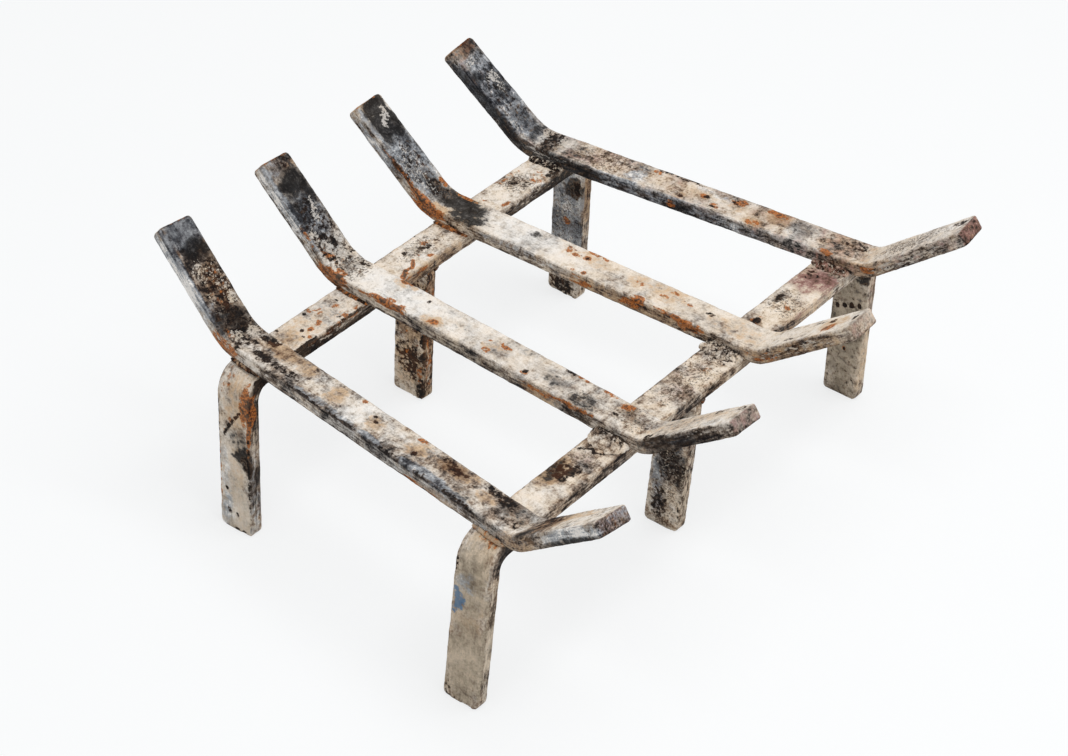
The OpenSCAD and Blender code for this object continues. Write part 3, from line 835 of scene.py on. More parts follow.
            ("rust", -97, -11, 7, 2.4, 0.75), ("crust", -110, 6, 9, 5, 0.45), ("smoke", -72, 2, 10, 9, 0.4),
            ("light", -70, -5, 8, 7, 0.14), ("warm", -75, 0, 12, 12, -0.3), ("stain", -55, 5, 11, 9, 1.0),
            ("rust", -56, 7, 8, 5, 0.5), ("rust", -49, 9, 5, 3, 0.6), ("stain", -43, -9, 8, 5, 1.0),
            ("rust", -43, -9, 6, 3.5, 0.6), ("warm", -48, 0, 16, 12, 0.4), ("light", -52, 3, 14, 11, -0.08),
            ("film", -8, 8, 20, 4, 0.4), ("rust", -25, 7, 7, 4, 0.65), ("crust", -24, 6, 5, 3, 0.4),
            ("stain", -27, 2, 8, 6, 0.6), ("crust", -4, 1, 2.5, 2, 0.9), ("rust", -3, 1, 4.5, 3.5, 0.6),
            ("rust", -13, -6, 4, 3.5, 0.5), ("crust", -12, -7, 2.5, 1.5, 0.5), ("crust", 12, -7, 3.4, 2.4, 0.8),
            ("stain", 12, -7, 5, 4, 0.7), ("warm", 15, 0, 25, 12, 0.4), ("stain", 5, 3, 16, 7, 0.35),
            ("rust", 35, 8, 4, 3, 0.55), ("crust", 20, 11, 20, 2, 0.5), ("smoke", 45, 5, 8, 7, 0.4),
            ("film", 46, -2, 7, 12, 0.6), ("plum", 72, 0, 26, 14, 0.12), ("warm", 72, 0, 24, 14, 0.2),
            ("bare", 72, 0, 26, 14, 0.25), ("pits", 72, 0, 24, 13, 0.35), ("mottle", 76, 0, 26, 14, 0.4),
            ("light", 72, -10, 24, 4, 0.1), ("smoke", 90, 2, 8, 10, 0.35), ("light", 101, 2, 6, 10, 0.2),
            ("crust", 112, 0, 9, 14, 0.6), ("smoke", 110, -3, 10, 8, 0.5), ("flecks", 119, 0, 4, 13, 0.75),
            ("flecks", 104, 3, 5, 8, 0.5), ("smoke", 126, 2, 5, 12, 0.6), ("warm", 165, 0, 56, 20, -0.7),
            ("film", 160, 0, 46, 16, 1.1), ("light", 160, 0, 42, 30, -0.22), ("mottle", 158, 0, 40, 16, 0.4),
            ("smoke", 140, 3, 14, 9, 0.35), ("smoke", 165, 3, 8, 10, 0.35), ("crust", 160, 0, 34, 12, 0.22),
            ("flecks", 168, 5, 10, 5, 0.38), ("flecks", 140, -8, 14, 3, 0.3), ("flecks", 175, 2, 5, 8, 0.4),
            ("light", 188, 0, 7, 14, 0.14), ("flecks", 192, -4, 4, 8, 0.45), ("smoke", 181, -8, 5, 5, 0.5),
            ("light", 201, 0, 6, 16, -0.2), ("stain", 201, 0, 6, 14, 0.5), ("film", 200, 0, 6, 14, -0.6),
            ("mottle", 200, 0, 6, 14, -0.4),
        ],
        "left": [
            ("light", -33, 5, 30, 9, 0.04), ("light", 35, 5, 30, 9, 0.04),
            ("light", 35, 5, 30, 9, 0.04), ("light", 103, 5, 30, 9, 0.08), ("light", 170, 5, 30, 9, 0.03),
            ("light", -169, 5, 30, 9, -0.02), ("light", -101, 5, 30, 9, -0.09), ("light", 35, 5, 30, 9, 0.04),
            ("light", 103, 5, 30, 9, 0.07),
            ("crust", -160, 5, 48, 8, 0.26), ("flecks", -160, 6, 44, 5, 0.42), ("light", 20, 5, 120, 8, -0.14),
            ("warm", 30, 5, 160, 12, -0.6), ("film", 40, 5, 110, 8, 0.7), ("crust", 0, 5, 95, 8, 0.18),
            ("rust", 15, 5, 4, 3, 0.65), ("rust", -125, 4, 8, 4, 0.5), ("stain", -120, 5, 30, 8, 0.6),
            ("smoke", 105, 5, 45, 9, 0.65), ("crust", 110, 5, 45, 8, 0.29), ("smoke", 170, 6, 36, 6, 0.5),
            ("film", 170, 4, 34, 8, 1.0), ("light", 170, 5, 38, 8, -0.22), ("flecks", 110, 3, 24, 3, 0.3),
            ("light", -165, 5, 44, 8, 0.1), ("mottle", 0, 5, 220, 9, 0.2),
        ],
        "front end": {"rust": 0.13, "crust": 0.16, "plum": 0.5, "light": -0.22, "stain": 0.35, "mottle": 0.1},
        "rear end": {"stain": 0.6, "rust": 0.2, "light": -0.25},
    },
    "rear_rail": {
        "top": [
            ("light", 35, 0, 10, 26, -0.04),
            # The light dab at -24 darkens the rail top just beside bar 2: painted shade from the bar.
            ("light", -24, 0, 7, 26, -0.06), ("light", 35, 0, 10, 26, -0.05),
            ("light", -125, 0, 16, 26, -0.03),
            ("light", -41, 0, 14, 26, -0.03), ("light", 41, 0, 14, 26, -0.05),
            ("light", -208, 0, 18, 26, -0.05), ("light", -166, 0, 18, 26, 0.05),
            ("light", -41, 0, 14, 26, -0.04), ("light", 0, 0, 18, 26, 0.04), ("light", 41, 0, 14, 26, -0.07),
            ("light", 124, 0, 18, 26, 0.05), ("light", -240, 0, 24, 26, 0.03),
            ("light", -208, 0, 18, 26, -0.05), ("light", -125, 0, 18, 26, -0.04),
            ("light", -83, 0, 18, 20, 0.05), ("light", 0, 0, 18, 26, 0.05), ("light", 41, 0, 14, 26, -0.05),
            ("khaki", -252, 0, 30, 14, 0.5), ("film", -240, 8, 36, 5, 0.45), ("film", -258, 6, 14, 8, 0.3),
            ("mottle", -245, 0, 40, 14, -0.3), ("bare", -245, 0, 40, 14, -0.1), ("stain", -230, -1, 14, 6, 0.3),
            ("crust", -257, 5, 2.5, 2, 0.7), ("crust", -258, -1, 2.2, 1.5, 0.7), ("crust", -241, 7, 2, 1.5, 0.6),
            ("light", -240, 0, 34, 14, -0.02), ("crust", -270, 0, 3, 12, 0.45), ("smoke", -214, -11, 10, 5, 1.2),
            ("smoke", -214, -6, 7, 5, 0.8), ("smoke", -214, -1, 4, 4, 0.6), ("crust", -216, -9, 6, 4, 0.5), ("smoke", -201, -4, 10, 9, 0.5), ("light", -212, -8, 24, 6, -0.15), *line_of("crust", (-202, 8), (-193, 4), 1.3, 0.4), *line_of("crust", (-193, 4), (-181, -5), 1.5, 0.5), ("rust", -225, 12, 38, 0.9, 0.55), ("crust", -205, 12.3, 44, 0.8, 0.5),
            ("rust", -199, 7, 3, 1.2, 0.55), ("rust", -188, 3, 4, 1.4, 0.5),
            ("rust", -176, -9, 16, 4.5, 0.9), ("stain", -178, -3, 18, 10, 0.6), ("rust", -192, -12, 24, 1.6, 0.8),
            ("rust", -165, 6, 8, 6, 0.3), ("spots", -172, 5, 12, 6, 0.5), ("crust", -225, -12, 40, 1.5, 0.5),
            ("stain", -118, 2, 9, 8, 0.35), ("stain", -98, 0, 32, 12, 0.25), ("crust", -95, 9, 1.6, 1.6, 0.75), ("rust", -90, 10, 2.2, 3, 0.6),
            ("rust", -87, 7, 2.4, 1.8, 0.6), ("rust", -87, 3, 2.4, 1.6, 0.66), ("rust", -84, 6, 1.6, 1.4, 0.55),
            ("rust", -76, 0, 2.6, 3, 0.55), ("crust", -71, 4, 1.6, 1.4, 0.6), ("crust", -108, -1, 1.8, 1.6, 0.7),
            ("rust", -104, -4, 2.6, 2.2, 0.68), ("rust", -98, -4, 2.4, 2.2, 0.62), ("rust", -95, -3, 2.6, 2.2, 0.6),
            ("rust", -81, -6, 3, 2, 0.55), ("rust", -77, -9.5, 4, 2.6, 0.62), ("crust", -83, -9, 2.4, 1.8, 0.5),
            ("rust", -110, -9, 2, 2, 0.6), ("crust", -113, -6, 1.5, 1.3, 0.55), ("crust", -119, 10, 2, 1.5, 0.5),
            ("crust", -116, -12, 9, 2.2, 0.6), ("rust", -69, -9, 3, 2.5, 0.5), ("crust", -80, -12.4, 22, 1, 0.4), *line_of("rust", (-26, -12), (-19, -8), 1.7, 0.68),
            *line_of("rust", (-19, -8), (-13, -9), 1.6, 0.62), *line_of("rust", (-13, -9), (-7, -4), 1.6, 0.6), ("rust", -23, -11, 5, 2.2, 0.6), ("crust", -6, 5, 4, 3, 0.6),
            ("smoke", 2, 2, 12, 6, 0.35), ("crust", 8, -1, 9, 4, 0.5), ("rust", 5, -9, 3, 2, 0.6),
            ("rust", 14, 3, 5, 3, 0.5), ("pits", 5, 2, 24, 9, 0.35), ("spots", 5, 0, 26, 12, 0.4),
            ("mottle", 5, 0, 30, 12, 0.4), ("rust", 80, -9, 5, 2, 0.7), ("rust", 75, 3, 2, 4, 0.5),
            ("pits", 103, 1, 14, 10, 0.42), ("crust", 104, 3, 5, 5, 0.5), ("crust", 106, -5, 6, 3, 0.45),
            ("rust", 104, 9, 18, 3, 0.35), ("crust", 130, -10, 8, 3.5, 0.75), ("rust", 118, -5, 10, 6, 0.3),
            ("mottle", 104, 0, 26, 12, 0.4),
        ],
        "left": [
            ("light", -180, 5, 28, 9, -0.04),
            ("light", 120, 5, 28, 9, 0.1), ("light", -60, 5, 28, 9, 0.04),
            ("light", -240, 5, 28, 9, 0.02), ("light", -180, 5, 28, 9, -0.06), ("light", -120, 5, 28, 9, -0.1),
            ("light", -60, 5, 28, 9, 0.02), ("light", 60, 5, 28, 9, -0.04), ("light", 120, 5, 28, 9, -0.06),
            ("light", 180, 5, 28, 9, -0.06),
            ("light", -240, 5, 28, 9, -0.04), ("light", -180, 5, 28, 9, -0.14),
            ("light", -120, 5, 28, 9, -0.08), ("light", -60, 5, 28, 9, -0.06), ("light", 0, 5, 28, 9, -0.04),
            ("light", 60, 5, 28, 9, -0.11), ("light", 120, 5, 28, 9, -0.09), ("light", 180, 5, 28, 9, -0.03),
            ("film", -240, 5, 36, 8, 0.5), ("light", 0, 5, 260, 8, -0.08), ("crust", -225, 4, 16, 4, 0.29),
            ("rust", -178, 3, 14, 4, 0.85), ("crust", -150, 5, 18, 8, 1.0), ("crust", -112, 5, 26, 8, 0.75), ("crust", -70, 6, 24, 7, 0.5),
            ("smoke", -95, 8, 34, 4, 0.7), ("smoke", -150, 5, 20, 9, 0.9), ("smoke", -112, 6, 22, 6, 0.6), ("smoke", -62, 8, 22, 4, 0.6), ("smoke", -225, 7, 14, 3, 0.6), ("rust", -90, 1.5, 30, 2, 0.6), ("flecks", -95, 3, 30, 3, 0.35),
            ("stain", 0, 4, 34, 7, 0.6), ("rust", -10, 3, 14, 3, 0.5), ("crust", 0, 7, 34, 4, 0.29),
            ("crust", 102, 6, 32, 6, 0.36), ("smoke", 102, 7, 32, 5, 0.6), ("smoke", 132, 6, 16, 7, 0.8), ("flecks", 105, 4, 24, 4, 0.3),
            ("film", 105, 4, 26, 6, 0.4), ("stain", 190, 5, 30, 8, 0.5), ("light", 182, 5, 30, 8, -0.12),
        ],
        "right": [("crust", 0, 5, 260, 8, 0.35), ("stain", 0, 5, 260, 8, 0.3)],
        "under": [
            ("light", 188, 0, 24, 26, 0.05), ("light", 243, 0, 30, 26, 0.04),
            ("light", 188, 0, 24, 26, 0.08), ("light", 243, 0, 30, 26, 0.05),
            ("light", 188, 0, 24, 26, 0.2), ("light", 243, 0, 30, 26, 0.17),
            ("film", 215, 0, 70, 16, 1.1), ("light", 215, 0, 70, 18, -0.1), ("bare", 215, 0, 60, 16, 0.3),
            ("warm", 215, 0, 60, 16, -0.4), ("smoke", 184, -6, 10, 8, 0.9), ("crust", 186, -8, 8, 5, 0.5),
            ("rust", 212, 0, 3.4, 3.4, 0.8), ("film", 212, 0, 2, 2, 0.5), ("pits", 215, 0, 40, 14, 0.3),
            ("flecks", 205, 5, 26, 6, 0.3), ("crust", 264, 0, 9, 12, 0.55), ("film", 264, 0, 10, 14, -0.6),
            ("smoke", -190, 0, 50, 14, 0.4),
        ],
    },
    "front_rail": {
        "top": [
            # The light dabs at -79 and 83 darken the rail top just beside bars 2 and 3: painted shade from the bars.
            ("light", -277, 0, 20, 26, 0.04), ("light", -79, 0, 8, 26, -0.045), ("light", -192, 0, 18, 26, 0.02), ("light", -234, 0, 20, 26, 0.02),
            ("light", -277, 0, 20, 26, 0.04), ("light", -234, 0, 20, 26, 0.03), ("light", -107, 0, 16, 26, -0.025), ("light", -79, 0, 8, 26, -0.04), ("light", 150, 0, 16, 26, -0.03),
            ("light", -79, 0, 8, 26, -0.08),
            ("light", -79, 0, 8, 26, -0.12), ("light", 83, 0, 7, 26, -0.12), ("light", -107, 0, 16, 26, -0.03),
            ("light", -64, 0, 16, 26, -0.08), ("light", 64, 0, 16, 26, -0.07),
            ("light", -277, 0, 20, 26, 0.05), ("light", -64, 0, 18, 26, -0.06),
            ("light", 64, 0, 16, 26, -0.08), ("light", -192, 0, 18, 26, 0.03),
            ("light", -234, 0, 20, 26, 0.03),
            ("light", -192, 0, 18, 26, -0.06), ("light", -107, 0, 18, 26, -0.1),
            ("light", -64, 0, 18, 26, -0.08), ("light", -21, 0, 18, 26, -0.03),
            ("light", 64, 0, 16, 26, -0.14), ("light", 150, 0, 16, 26, -0.12),
            ("khaki", -268, 0, 42, 16, 0.9), ("khaki", -205, 0, 26, 14, 0.9), ("mottle", -245, 0, 60, 16, -0.35),
            ("bare", -245, 0, 60, 16, -0.45), ("stain", -245, 0, 60, 16, 0.25), ("crust", -250, 0, 60, 16, -0.1), ("pits", -250, 0, 60, 16, -0.12),
            ("light", -255, 0, 55, 30, -0.16), ("stain", -240, -2, 8, 8, 0.5), ("warm", -240, 0, 12, 10, 0.2),
            ("film", -212, 2, 9, 9, 0.55), ("blue", -227, 7, 6, 4, 1.3), ("blue", -221, 10, 5, 2.4, 0.8), ("blue", -232, 10, 4, 2, 0.5), ("light", -226, 8, 8, 5, -0.1),
            ("stain", -200, -6, 14, 7, 0.6), ("rust", -186, -6, 6, 5, 0.35), ("warm", -255, 0, 60, 16, 0.2), ("crust", -203, 11, 12, 1.6, 0.3), ("light", -192, 2, 7, 9, 0.12),
            ("rust", -180, 0, 7, 12, 0.3), ("stain", -182, 0, 12, 12, 0.5), ("crust", -299, 0, 3, 14, 0.4), ("crust", -292, 10, 9, 3, 0.35), ("light", -285, 6, 14, 6, -0.05), ("spots", -255, 0, 40, 12, 0.12),
            ("light", -144, 0, 13, 13, 0.1), ("bare", -144, 0, 13, 13, -0.2), ("stain", -115, 8, 16, 7, 0.9),
            ("smoke", -114, 9, 12, 5, 0.7), ("crust", -112, 6, 9, 5, 0.6), ("crust", -108, -1, 6, 4, 0.85),
            ("crust", -117, 0, 4, 4, 0.5), ("pits", -95, 0, 14, 12, 0.25), ("plum", -92, 0, 10, 13, 0.3),
            *line_of("crust", (-89, 10), (-84, 3), 1.3, 0.5), *line_of("crust", (-84, 3), (-87, 0), 1.2, 0.45), *line_of("crust", (-87, 0), (-80, -9), 1.3, 0.5),
            ("light", -84, 0, 5, 14, 0.08), ("plum", 0, 0, 40, 16, 0.3), ("pits", 5, 0, 38, 13, 0.3),
            ("bare", 10, 0, 34, 14, 0.2), ("mottle", 5, 0, 38, 14, 0.3), ("light", 34, 0, 9, 13, -0.06),
            ("crust", 36, 0, 6, 12, 0.35), ("rust", 22, -4, 4, 3, 0.4), ("crust", 83, 3, 4, 3, 0.85),
            ("rust", 83, 3, 5, 4, 0.5), ("warm", 100, -4, 18, 10, 0.5), ("light", 100, -2, 18, 12, 0.05),
            ("smoke", 112, 6, 7, 4, 0.5), ("pits", 108, 0, 16, 12, 0.3), ("crust", 112, 6, 5, 3, 0.55),
            ("rust", 107, -3, 5, 4, 0.45), ("plum", 140, 1, 15, 16, 1.2), ("light", 140, 1, 16, 16, -0.1),
            ("stain", 146, 8, 8, 5, 0.3), ("crust", 147, 6, 7, 6, 0.35), ("plum", 118, -6, 10, 5, 0.3),
        ],
        "left": [
            ("light", -199, 5, 30, 9, 0.04), ("light", -66, 5, 30, 9, 0.03),
            ("light", -132, 5, 30, 9, -0.04), ("light", 66, 5, 30, 9, -0.03),
            ("light", -66, 5, 30, 9, 0.06), ("light", 199, 5, 30, 9, 0.09),
            ("light", -199, 5, 30, 9, -0.06), ("light", -132, 5, 30, 9, -0.08), ("light", 199, 5, 30, 9, 0.04),
            ("light", 132, 5, 24, 9, 0.04), ("light", 265, 5, 30, 9, 0.05),
            ("light", -199, 5, 30, 9, -0.08), ("light", -132, 5, 30, 9, -0.06),
            ("light", -66, 5, 30, 9, -0.16), ("light", 0, 5, 30, 9, -0.05), ("light", 66, 5, 30, 9, -0.11),
            ("light", 199, 5, 30, 9, 0.03), ("light", 265, 5, 30, 9, 0.07),
            ("khaki", -250, 5, 50, 8, 0.6), ("light", -250, 5, 50, 8, 0.08), ("crust", -230, 6, 14, 2.5, 0.6),
            ("smoke", -185, 5, 12, 8, 0.3), ("light", -190, 5, 26, 8, -0.14), ("crust", -108, 6, 34, 5, 0.36),
            ("light", -108, 5, 36, 8, -0.06), ("crust", -50, 6, 24, 5, 0.22), ("crust", 0, 6, 36, 6, 0.29),
            ("light", 20, 5, 80, 8, -0.12), ("stain", 110, 5, 46, 8, 0.4), ("plum", 118, 2, 26, 3, 0.5),
            ("light", 130, 5, 32, 8, 0.12), ("crust", 140, 7, 20, 3, 0.29), ("plum", 212, 5, 20, 8, 0.4),
            ("light", 212, 5, 20, 8, -0.1), ("warm", 265, 5, 34, 8, 0.5), ("stain", 265, 5, 34, 8, 0.4),
            ("light", 262, 5, 32, 8, 0.08),
        ],
        "right": [("crust", 0, 5, 280, 8, 0.3), ("stain", 0, 5, 280, 8, 0.3)],
        "under": [
            ("light", 215, 0, 22, 26, 0.06), ("light", 270, 0, 30, 26, 0.05),
            ("light", 215, 0, 22, 26, 0.1), ("light", 270, 0, 30, 26, 0.05),
            ("light", 215, 0, 22, 26, 0.07), ("light", 270, 0, 30, 26, 0.05),
            ("khaki", 250, 0, 62, 18, 1.0), ("bare", 255, 0, 60, 18, -0.4), ("pits", 255, 0, 60, 18, -0.1), ("light", 250, 0, 60, 18, -0.12), ("warm", 250, 0, 60, 16, -0.3),
            ("mottle", 262, 0, 46, 16, -0.4), ("crust", 231, 8, 1.7, 1.5, 1.3), ("crust", 229, 3, 1.8, 1.5, 1.3),
            ("crust", 227, -2, 2.6, 1.9, 1.3), ("crust", 225, -8, 2, 1.6, 1.2), ("smoke", 200, -8, 12, 8, 0.8),
            ("rust", 262, 0, 1.8, 1.6, 0.9), ("crust", 262, 0, 1.3, 1.1, 1.2), ("crust", 300, 0, 2.5, 14, 0.4), ("mottle", 240, 0, 60, 16, -0.3),
        ],
    },
    "rear_middle_leg": {
        "top": [
            ("crust", 75, 3, 16, 9, 0.4), ("crust", 76, -4, 14, 6, 0.38), ("rust", 76, 4, 12, 7, 0.28),
            ("crust", 96, -10, 11, 5, 0.6), ("smoke", 90, -10, 16, 6, 0.4), ("rust", 88, -9, 12, 3, 0.4), ("crust", 55, -11, 6, 3, 0.8),
            ("crust", 70, -11.5, 7, 2.4, 0.8), ("spots", 62, 0, 14, 10, 1.0), ("light", 98, 5, 16, 9, 0.12), ("light", 25, 0, 24, 14, -0.05),
            ("crust", 98, 5, 14, 7, -0.2), ("light", 70, 0, 24, 12, 0.06), ("light", 45, 4, 14, 10, -0.12),
            ("stain", 30, 0, 30, 14, 0.9), ("rust", 25, 4, 24, 6, 0.6), ("crust", 28, -2, 24, 10, 0.5), ("stain", 76, 0, 22, 12, 0.5),
        ],
        "left": [
            ("crust", 50, 5, 60, 8, 0.22), ("rust", 50, 4, 60, 5, 0.42), ("stain", 50, 5, 60, 8, 0.6),
            ("plum", 50, 5, 60, 8, 0.3), ("light", 25, 5, 30, 8, -0.08), ("flecks", 80, 4, 26, 5, 0.3),
        ],
    },
    "front_middle_leg": {
        "top": [
            ("smoke", 50, -2, 18, 12, 0.75), ("crust", 48, -2, 22, 10, 0.42), ("film", 60, 6, 18, 7, 0.8),
            ("flecks", 62, 0, 24, 12, 0.12), ("film", 45, -6, 12, 6, 0.6), ("smoke", 62, -10, 12, 4, 0.6), ("crust", 88, 3, 14, 5, 0.5),
            ("film", 84, 4, 12, 5, 0.7), ("pits", 85, 0, 22, 12, 0.3), ("warm", 88, -4, 18, 10, 0.3),
            ("light", 90, -4, 18, 12, 0.06), ("smoke", 20, 0, 20, 14, 0.7),
        ],
        "left": [("light", 80, 5, 36, 8, 0.2), ("crust", 70, 5, 36, 8, 0.3), ("flecks", 70, 5, 40, 6, 0.35),
                 ("warm", 80, 5, 36, 8, 0.3), ("plum", 60, 5, 40, 8, 0.3)],
    },
}


def rail_top():
    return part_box("bar_1")[0].z


def bar_angle(number):
    return (number - 2.5) * sizes().bar_fan


def bar_middle(number):
    return (number - 2.5) * sizes().bar_pitch + BAR_SLIP[number] * MM


def rail_y(rail):
    s = sizes()
    return s.rear_rail_y if rail == "rear" else -s.front_rail_y


# ----------------------------------------------------------------- operators

class GRATE_OT_log_bars(Operator):
    """Bends the four log bars from straight stock and lays them across the rails"""
    bl_idname = "grate.log_bars"
    bl_label = "Log bars"

    def execute(self, context):
        for number in BARS:
            self.make_bar(number)
        return {"FINISHED"}

    def make_bar(self, number):
        s = sizes()
        node = f"bar_{number}"
        half = s.stock_width / 2
        front_turn = s.front_slope + math.radians(FRONT_TRIM[number])
        rear_reach = (s.rear_bend + s.stock_thickness) * math.tan(s.rear_slope / 2)
        front_reach = (s.front_bend + s.stock_thickness) * math.tan(front_turn / 2)
        rear_start, front_start = s.rear_run - rear_reach, s.front_run - front_reach
        bar = block(f"bar_{number}_worn", (-half, -front_start, 0), (half, rear_start, s.stock_thickness))
        rear_end, front_end = s.rear_upstand - rear_reach, s.front_upstand - front_reach
        sweep_end(bar, lambda c, n: n.y > 0.9, (0, rear_start, s.rear_bend + s.stock_thickness), (1, 0, 0),
                  -s.rear_slope, 12, (0, rear_end * math.cos(s.rear_slope), rear_end * math.sin(s.rear_slope)))
        sweep_end(bar, lambda c, n: n.y < -0.9, (0, -front_start, s.front_bend + s.stock_thickness), (1, 0, 0),
                  front_turn, 12, (0, -front_end * math.cos(front_turn), front_end * math.sin(front_turn)))
        close_up(bar)
        blunt_corners(bar, s.corner_radius)
        round_and_grain(bar, s.edge_radius, s.grain_size)
        stock = straightened_bar(points_of(bar), front_turn)
        store(bar, "stock", stock)
        store_paints(bar, stock, DABS[node], WEAR[node])
        place_piece(bar, (bar_middle(number), 0, rail_top()), bar_angle(number))
        roughen(bar, "Hammer scale", 0.011, 0.0007)
        roughen(bar, "Nicks", 0.0035, 0.0003)
        keep_inside(bar)
        hand_over(bar, node, fire_steel(f"Fire scale {node}", number, *SCALE[node]))


class GRATE_OT_rails(Operator):
    """Bends the two rails, each with its end legs, from single lengths of stock"""
    bl_idname = "grate.rails"
    bl_label = "Rails"

    def execute(self, context):
        for seed, rail in enumerate(RAILS):
            self.make_rail(rail, 11 + seed)
        return {"FINISHED"}

    def make_rail(self, rail, seed):
        s = sizes()
        node = f"{rail}_rail"
        span = s.rear_rail_length if rail == "rear" else s.front_rail_length
        drop = s.leg_bend + s.stock_thickness
        half = span / 2 - drop
        wide = s.stock_width / 2
        top = rail_top()
        leg = top - drop
        leans = FOOT_LEAN[rail]
        body = block(f"{rail}_rail_worn", (-half, -wide, top - s.stock_thickness), (half, wide, top))
        for side, turn, test in (("right", math.pi / 2, lambda c, n: n.x > 0.9 and c.x > 0),
                                 ("left", -math.pi / 2, lambda c, n: n.x < -0.9 and c.x < 0)):
            sign = 1 if side == "right" else -1
            lean_x, lean_y = leans[side]
            sweep_end(body, test, (sign * half, 0, leg), (0, 1, 0), -turn, 12, (lean_x * MM, lean_y * MM, -leg))
        close_up(body)
        blunt_corners(body, s.corner_radius)
        round_and_grain(body, s.edge_radius, s.grain_size)
        stock = straightened_rail(points_of(body), half, leans)
        store(body, "stock", stock)
        store_paints(body, stock, DABS[node], WEAR[node])
        place_piece(body, (0, rail_y(rail), 0))
        roughen(body, "Hammer scale", 0.010, 0.0007)
        roughen(body, "Nicks", 0.0032, 0.0003)
        keep_inside(body)
        hand_over(body, node, fire_steel(f"Fire scale {node}", seed, *SCALE[node]))


class GRATE_OT_middle_legs(Operator):
    """Cuts the two straight middle legs and stands them under the rails"""
    bl_idname = "grate.middle_legs"
    bl_label = "Middle legs"

    def execute(self, context):
        for seed, rail in enumerate(RAILS):
            self.make_leg(rail, 21 + seed)
        return {"FINISHED"}

    def make_leg(self, rail, seed):
        s = sizes()
        node = f"{rail}_middle_leg"
        thick, wide = s.stock_thickness / 2, s.stock_width / 2
        top = rail_top() - s.stock_thickness
        stub = 3 * MM
        lean_x, lean_y = (v * MM for v in FOOT_LEAN[rail]["middle"])
        leg = block(f"{rail}_middle_leg_worn", (-thick, -wide, top - stub), (thick, wide, top))
        bpy.ops.object.mode_set(mode="EDIT")
        select_faces(leg, lambda c, n: n.z < -0.9)
        bpy.ops.mesh.extrude_region_move(TRANSFORM_OT_translate={"value": (lean_x, lean_y, stub - top)})
        bpy.ops.object.mode_set(mode="OBJECT")
        close_up(leg)
        blunt_corners(leg, s.corner_radius)
        round_and_grain(leg, s.edge_radius, s.grain_size)
        points = points_of(leg)
        down = (top - points[:, 2]) / top
        stock = np.stack([points[:, 1] - lean_y * down, top - points[:, 2],
                          thick - points[:, 0] + lean_x * down], 1)
        store(leg, "stock", stock)
        store_paints(leg, stock, DABS[node], WEAR[node])
        place_piece(leg, (MIDDLE_LEG_X * MM, rail_y(rail), 0))
        roughen(leg, "Hammer scale", 0.010, 0.0007)
        roughen(leg, "Nicks", 0.0032, 0.0003)
        keep_inside(leg)
        hand_over(leg, node, fire_steel(f"Fire scale {node}", seed, *SCALE[node]))


def bead(name, reach, half_length, rise, seed, spatter=()):
    """A fillet of weld metal in the corner of x = 0 and z = 0, along Y: overlapping drops, cut to the corner."""
    s = sizes()
    draw = random.Random(seed)
    pitch = 2 * half_length / DROPS
    drops = []
    for i in range(DROPS):
        swell = draw.uniform(0.86, 1.1) * (0.8 if i in (0, DROPS - 1) else 1.0)
        y = (pitch * (i + 0.5 + draw.uniform(-0.2, 0.2)) - half_length) * 0.8
        drops.append(((0, y, 0), (reach * swell, pitch * 1.5, rise * swell)))
    drops += [(place, (radius,) * 3) for place, radius in spatter]
    begin()
    for number, (place, size) in enumerate(drops):
        bpy.ops.mesh.primitive_uv_sphere_add(segments=24, ring_count=16, radius=1, location=place, scale=size)
        if number == 0:
            made = bpy.context.object
            made.name = made.data.name = name
            bpy.ops.object.transform_apply(location=True, rotation=True, scale=True)
            bpy.ops.object.mode_set(mode="EDIT")
    bpy.ops.object.mode_set(mode="OBJECT")
    apply_modifier(made, "REMESH", mode="VOXEL", voxel_size=s.bead_grain, use_smooth_shade=True)
    points = points_of(made)
    x, z = np.abs(points[:, 0]) / reach, np.abs(points[:, 2]) / rise
    away = np.hypot(x, z) + 1e-9
    flat = ((x / away) ** HOLLOW + (z / away) ** HOLLOW) ** (-1 / HOLLOW)
    inside = np.clip(1.6 - away, 0, 1)
    points[:, (0, 2)] *= (1 + (flat - 1) * np.clip(inside * 2, 0, 1))[:, None]
    set_points(made, points)
    root = -0.5 * MM
    bpy.ops.object.mode_set(mode="EDIT")
    for point, normal in (((root, 0, 0), (1, 0, 0)), ((0, 0, root), (0, 0, 1))):
        bpy.ops.mesh.select_all(action="SELECT")
        bpy.ops.mesh.bisect(plane_co=point, plane_no=normal, use_fill=True, clear_inner=True)
    bpy.ops.object.mode_set(mode="OBJECT")
    close_up(made)
    apply_modifier(made, "REMESH", mode="VOXEL", voxel_size=s.bead_grain, use_smooth_shade=True)
    stock = points_of(made)
    stock[:, 1] += seed * 0.05
    store(made, "stock", stock)
    return made


def paint_bead(made, reach, half_length, paints):
    """Paints a bead all over, with more crust where it meets the bar, and pale stray drops past its end."""
    points = points_of(made)
    root = np.clip(1 - points[:, 0] / (reach * 0.6), 0, 1)
    stray = np.clip(np.abs(points[:, 1]) / MM - half_length / MM + 1, 0, 1)
    for kind in PAINTS + ("flank", "arris"):
        weight = np.full(len(points), paints.get(kind, 0.0))
        if kind == "crust":
            weight += paints.get("root", 0.0) * root - 0.6 * stray
        if kind == "light":
            weight += 0.15 * stray
        store(made, kind, weight)


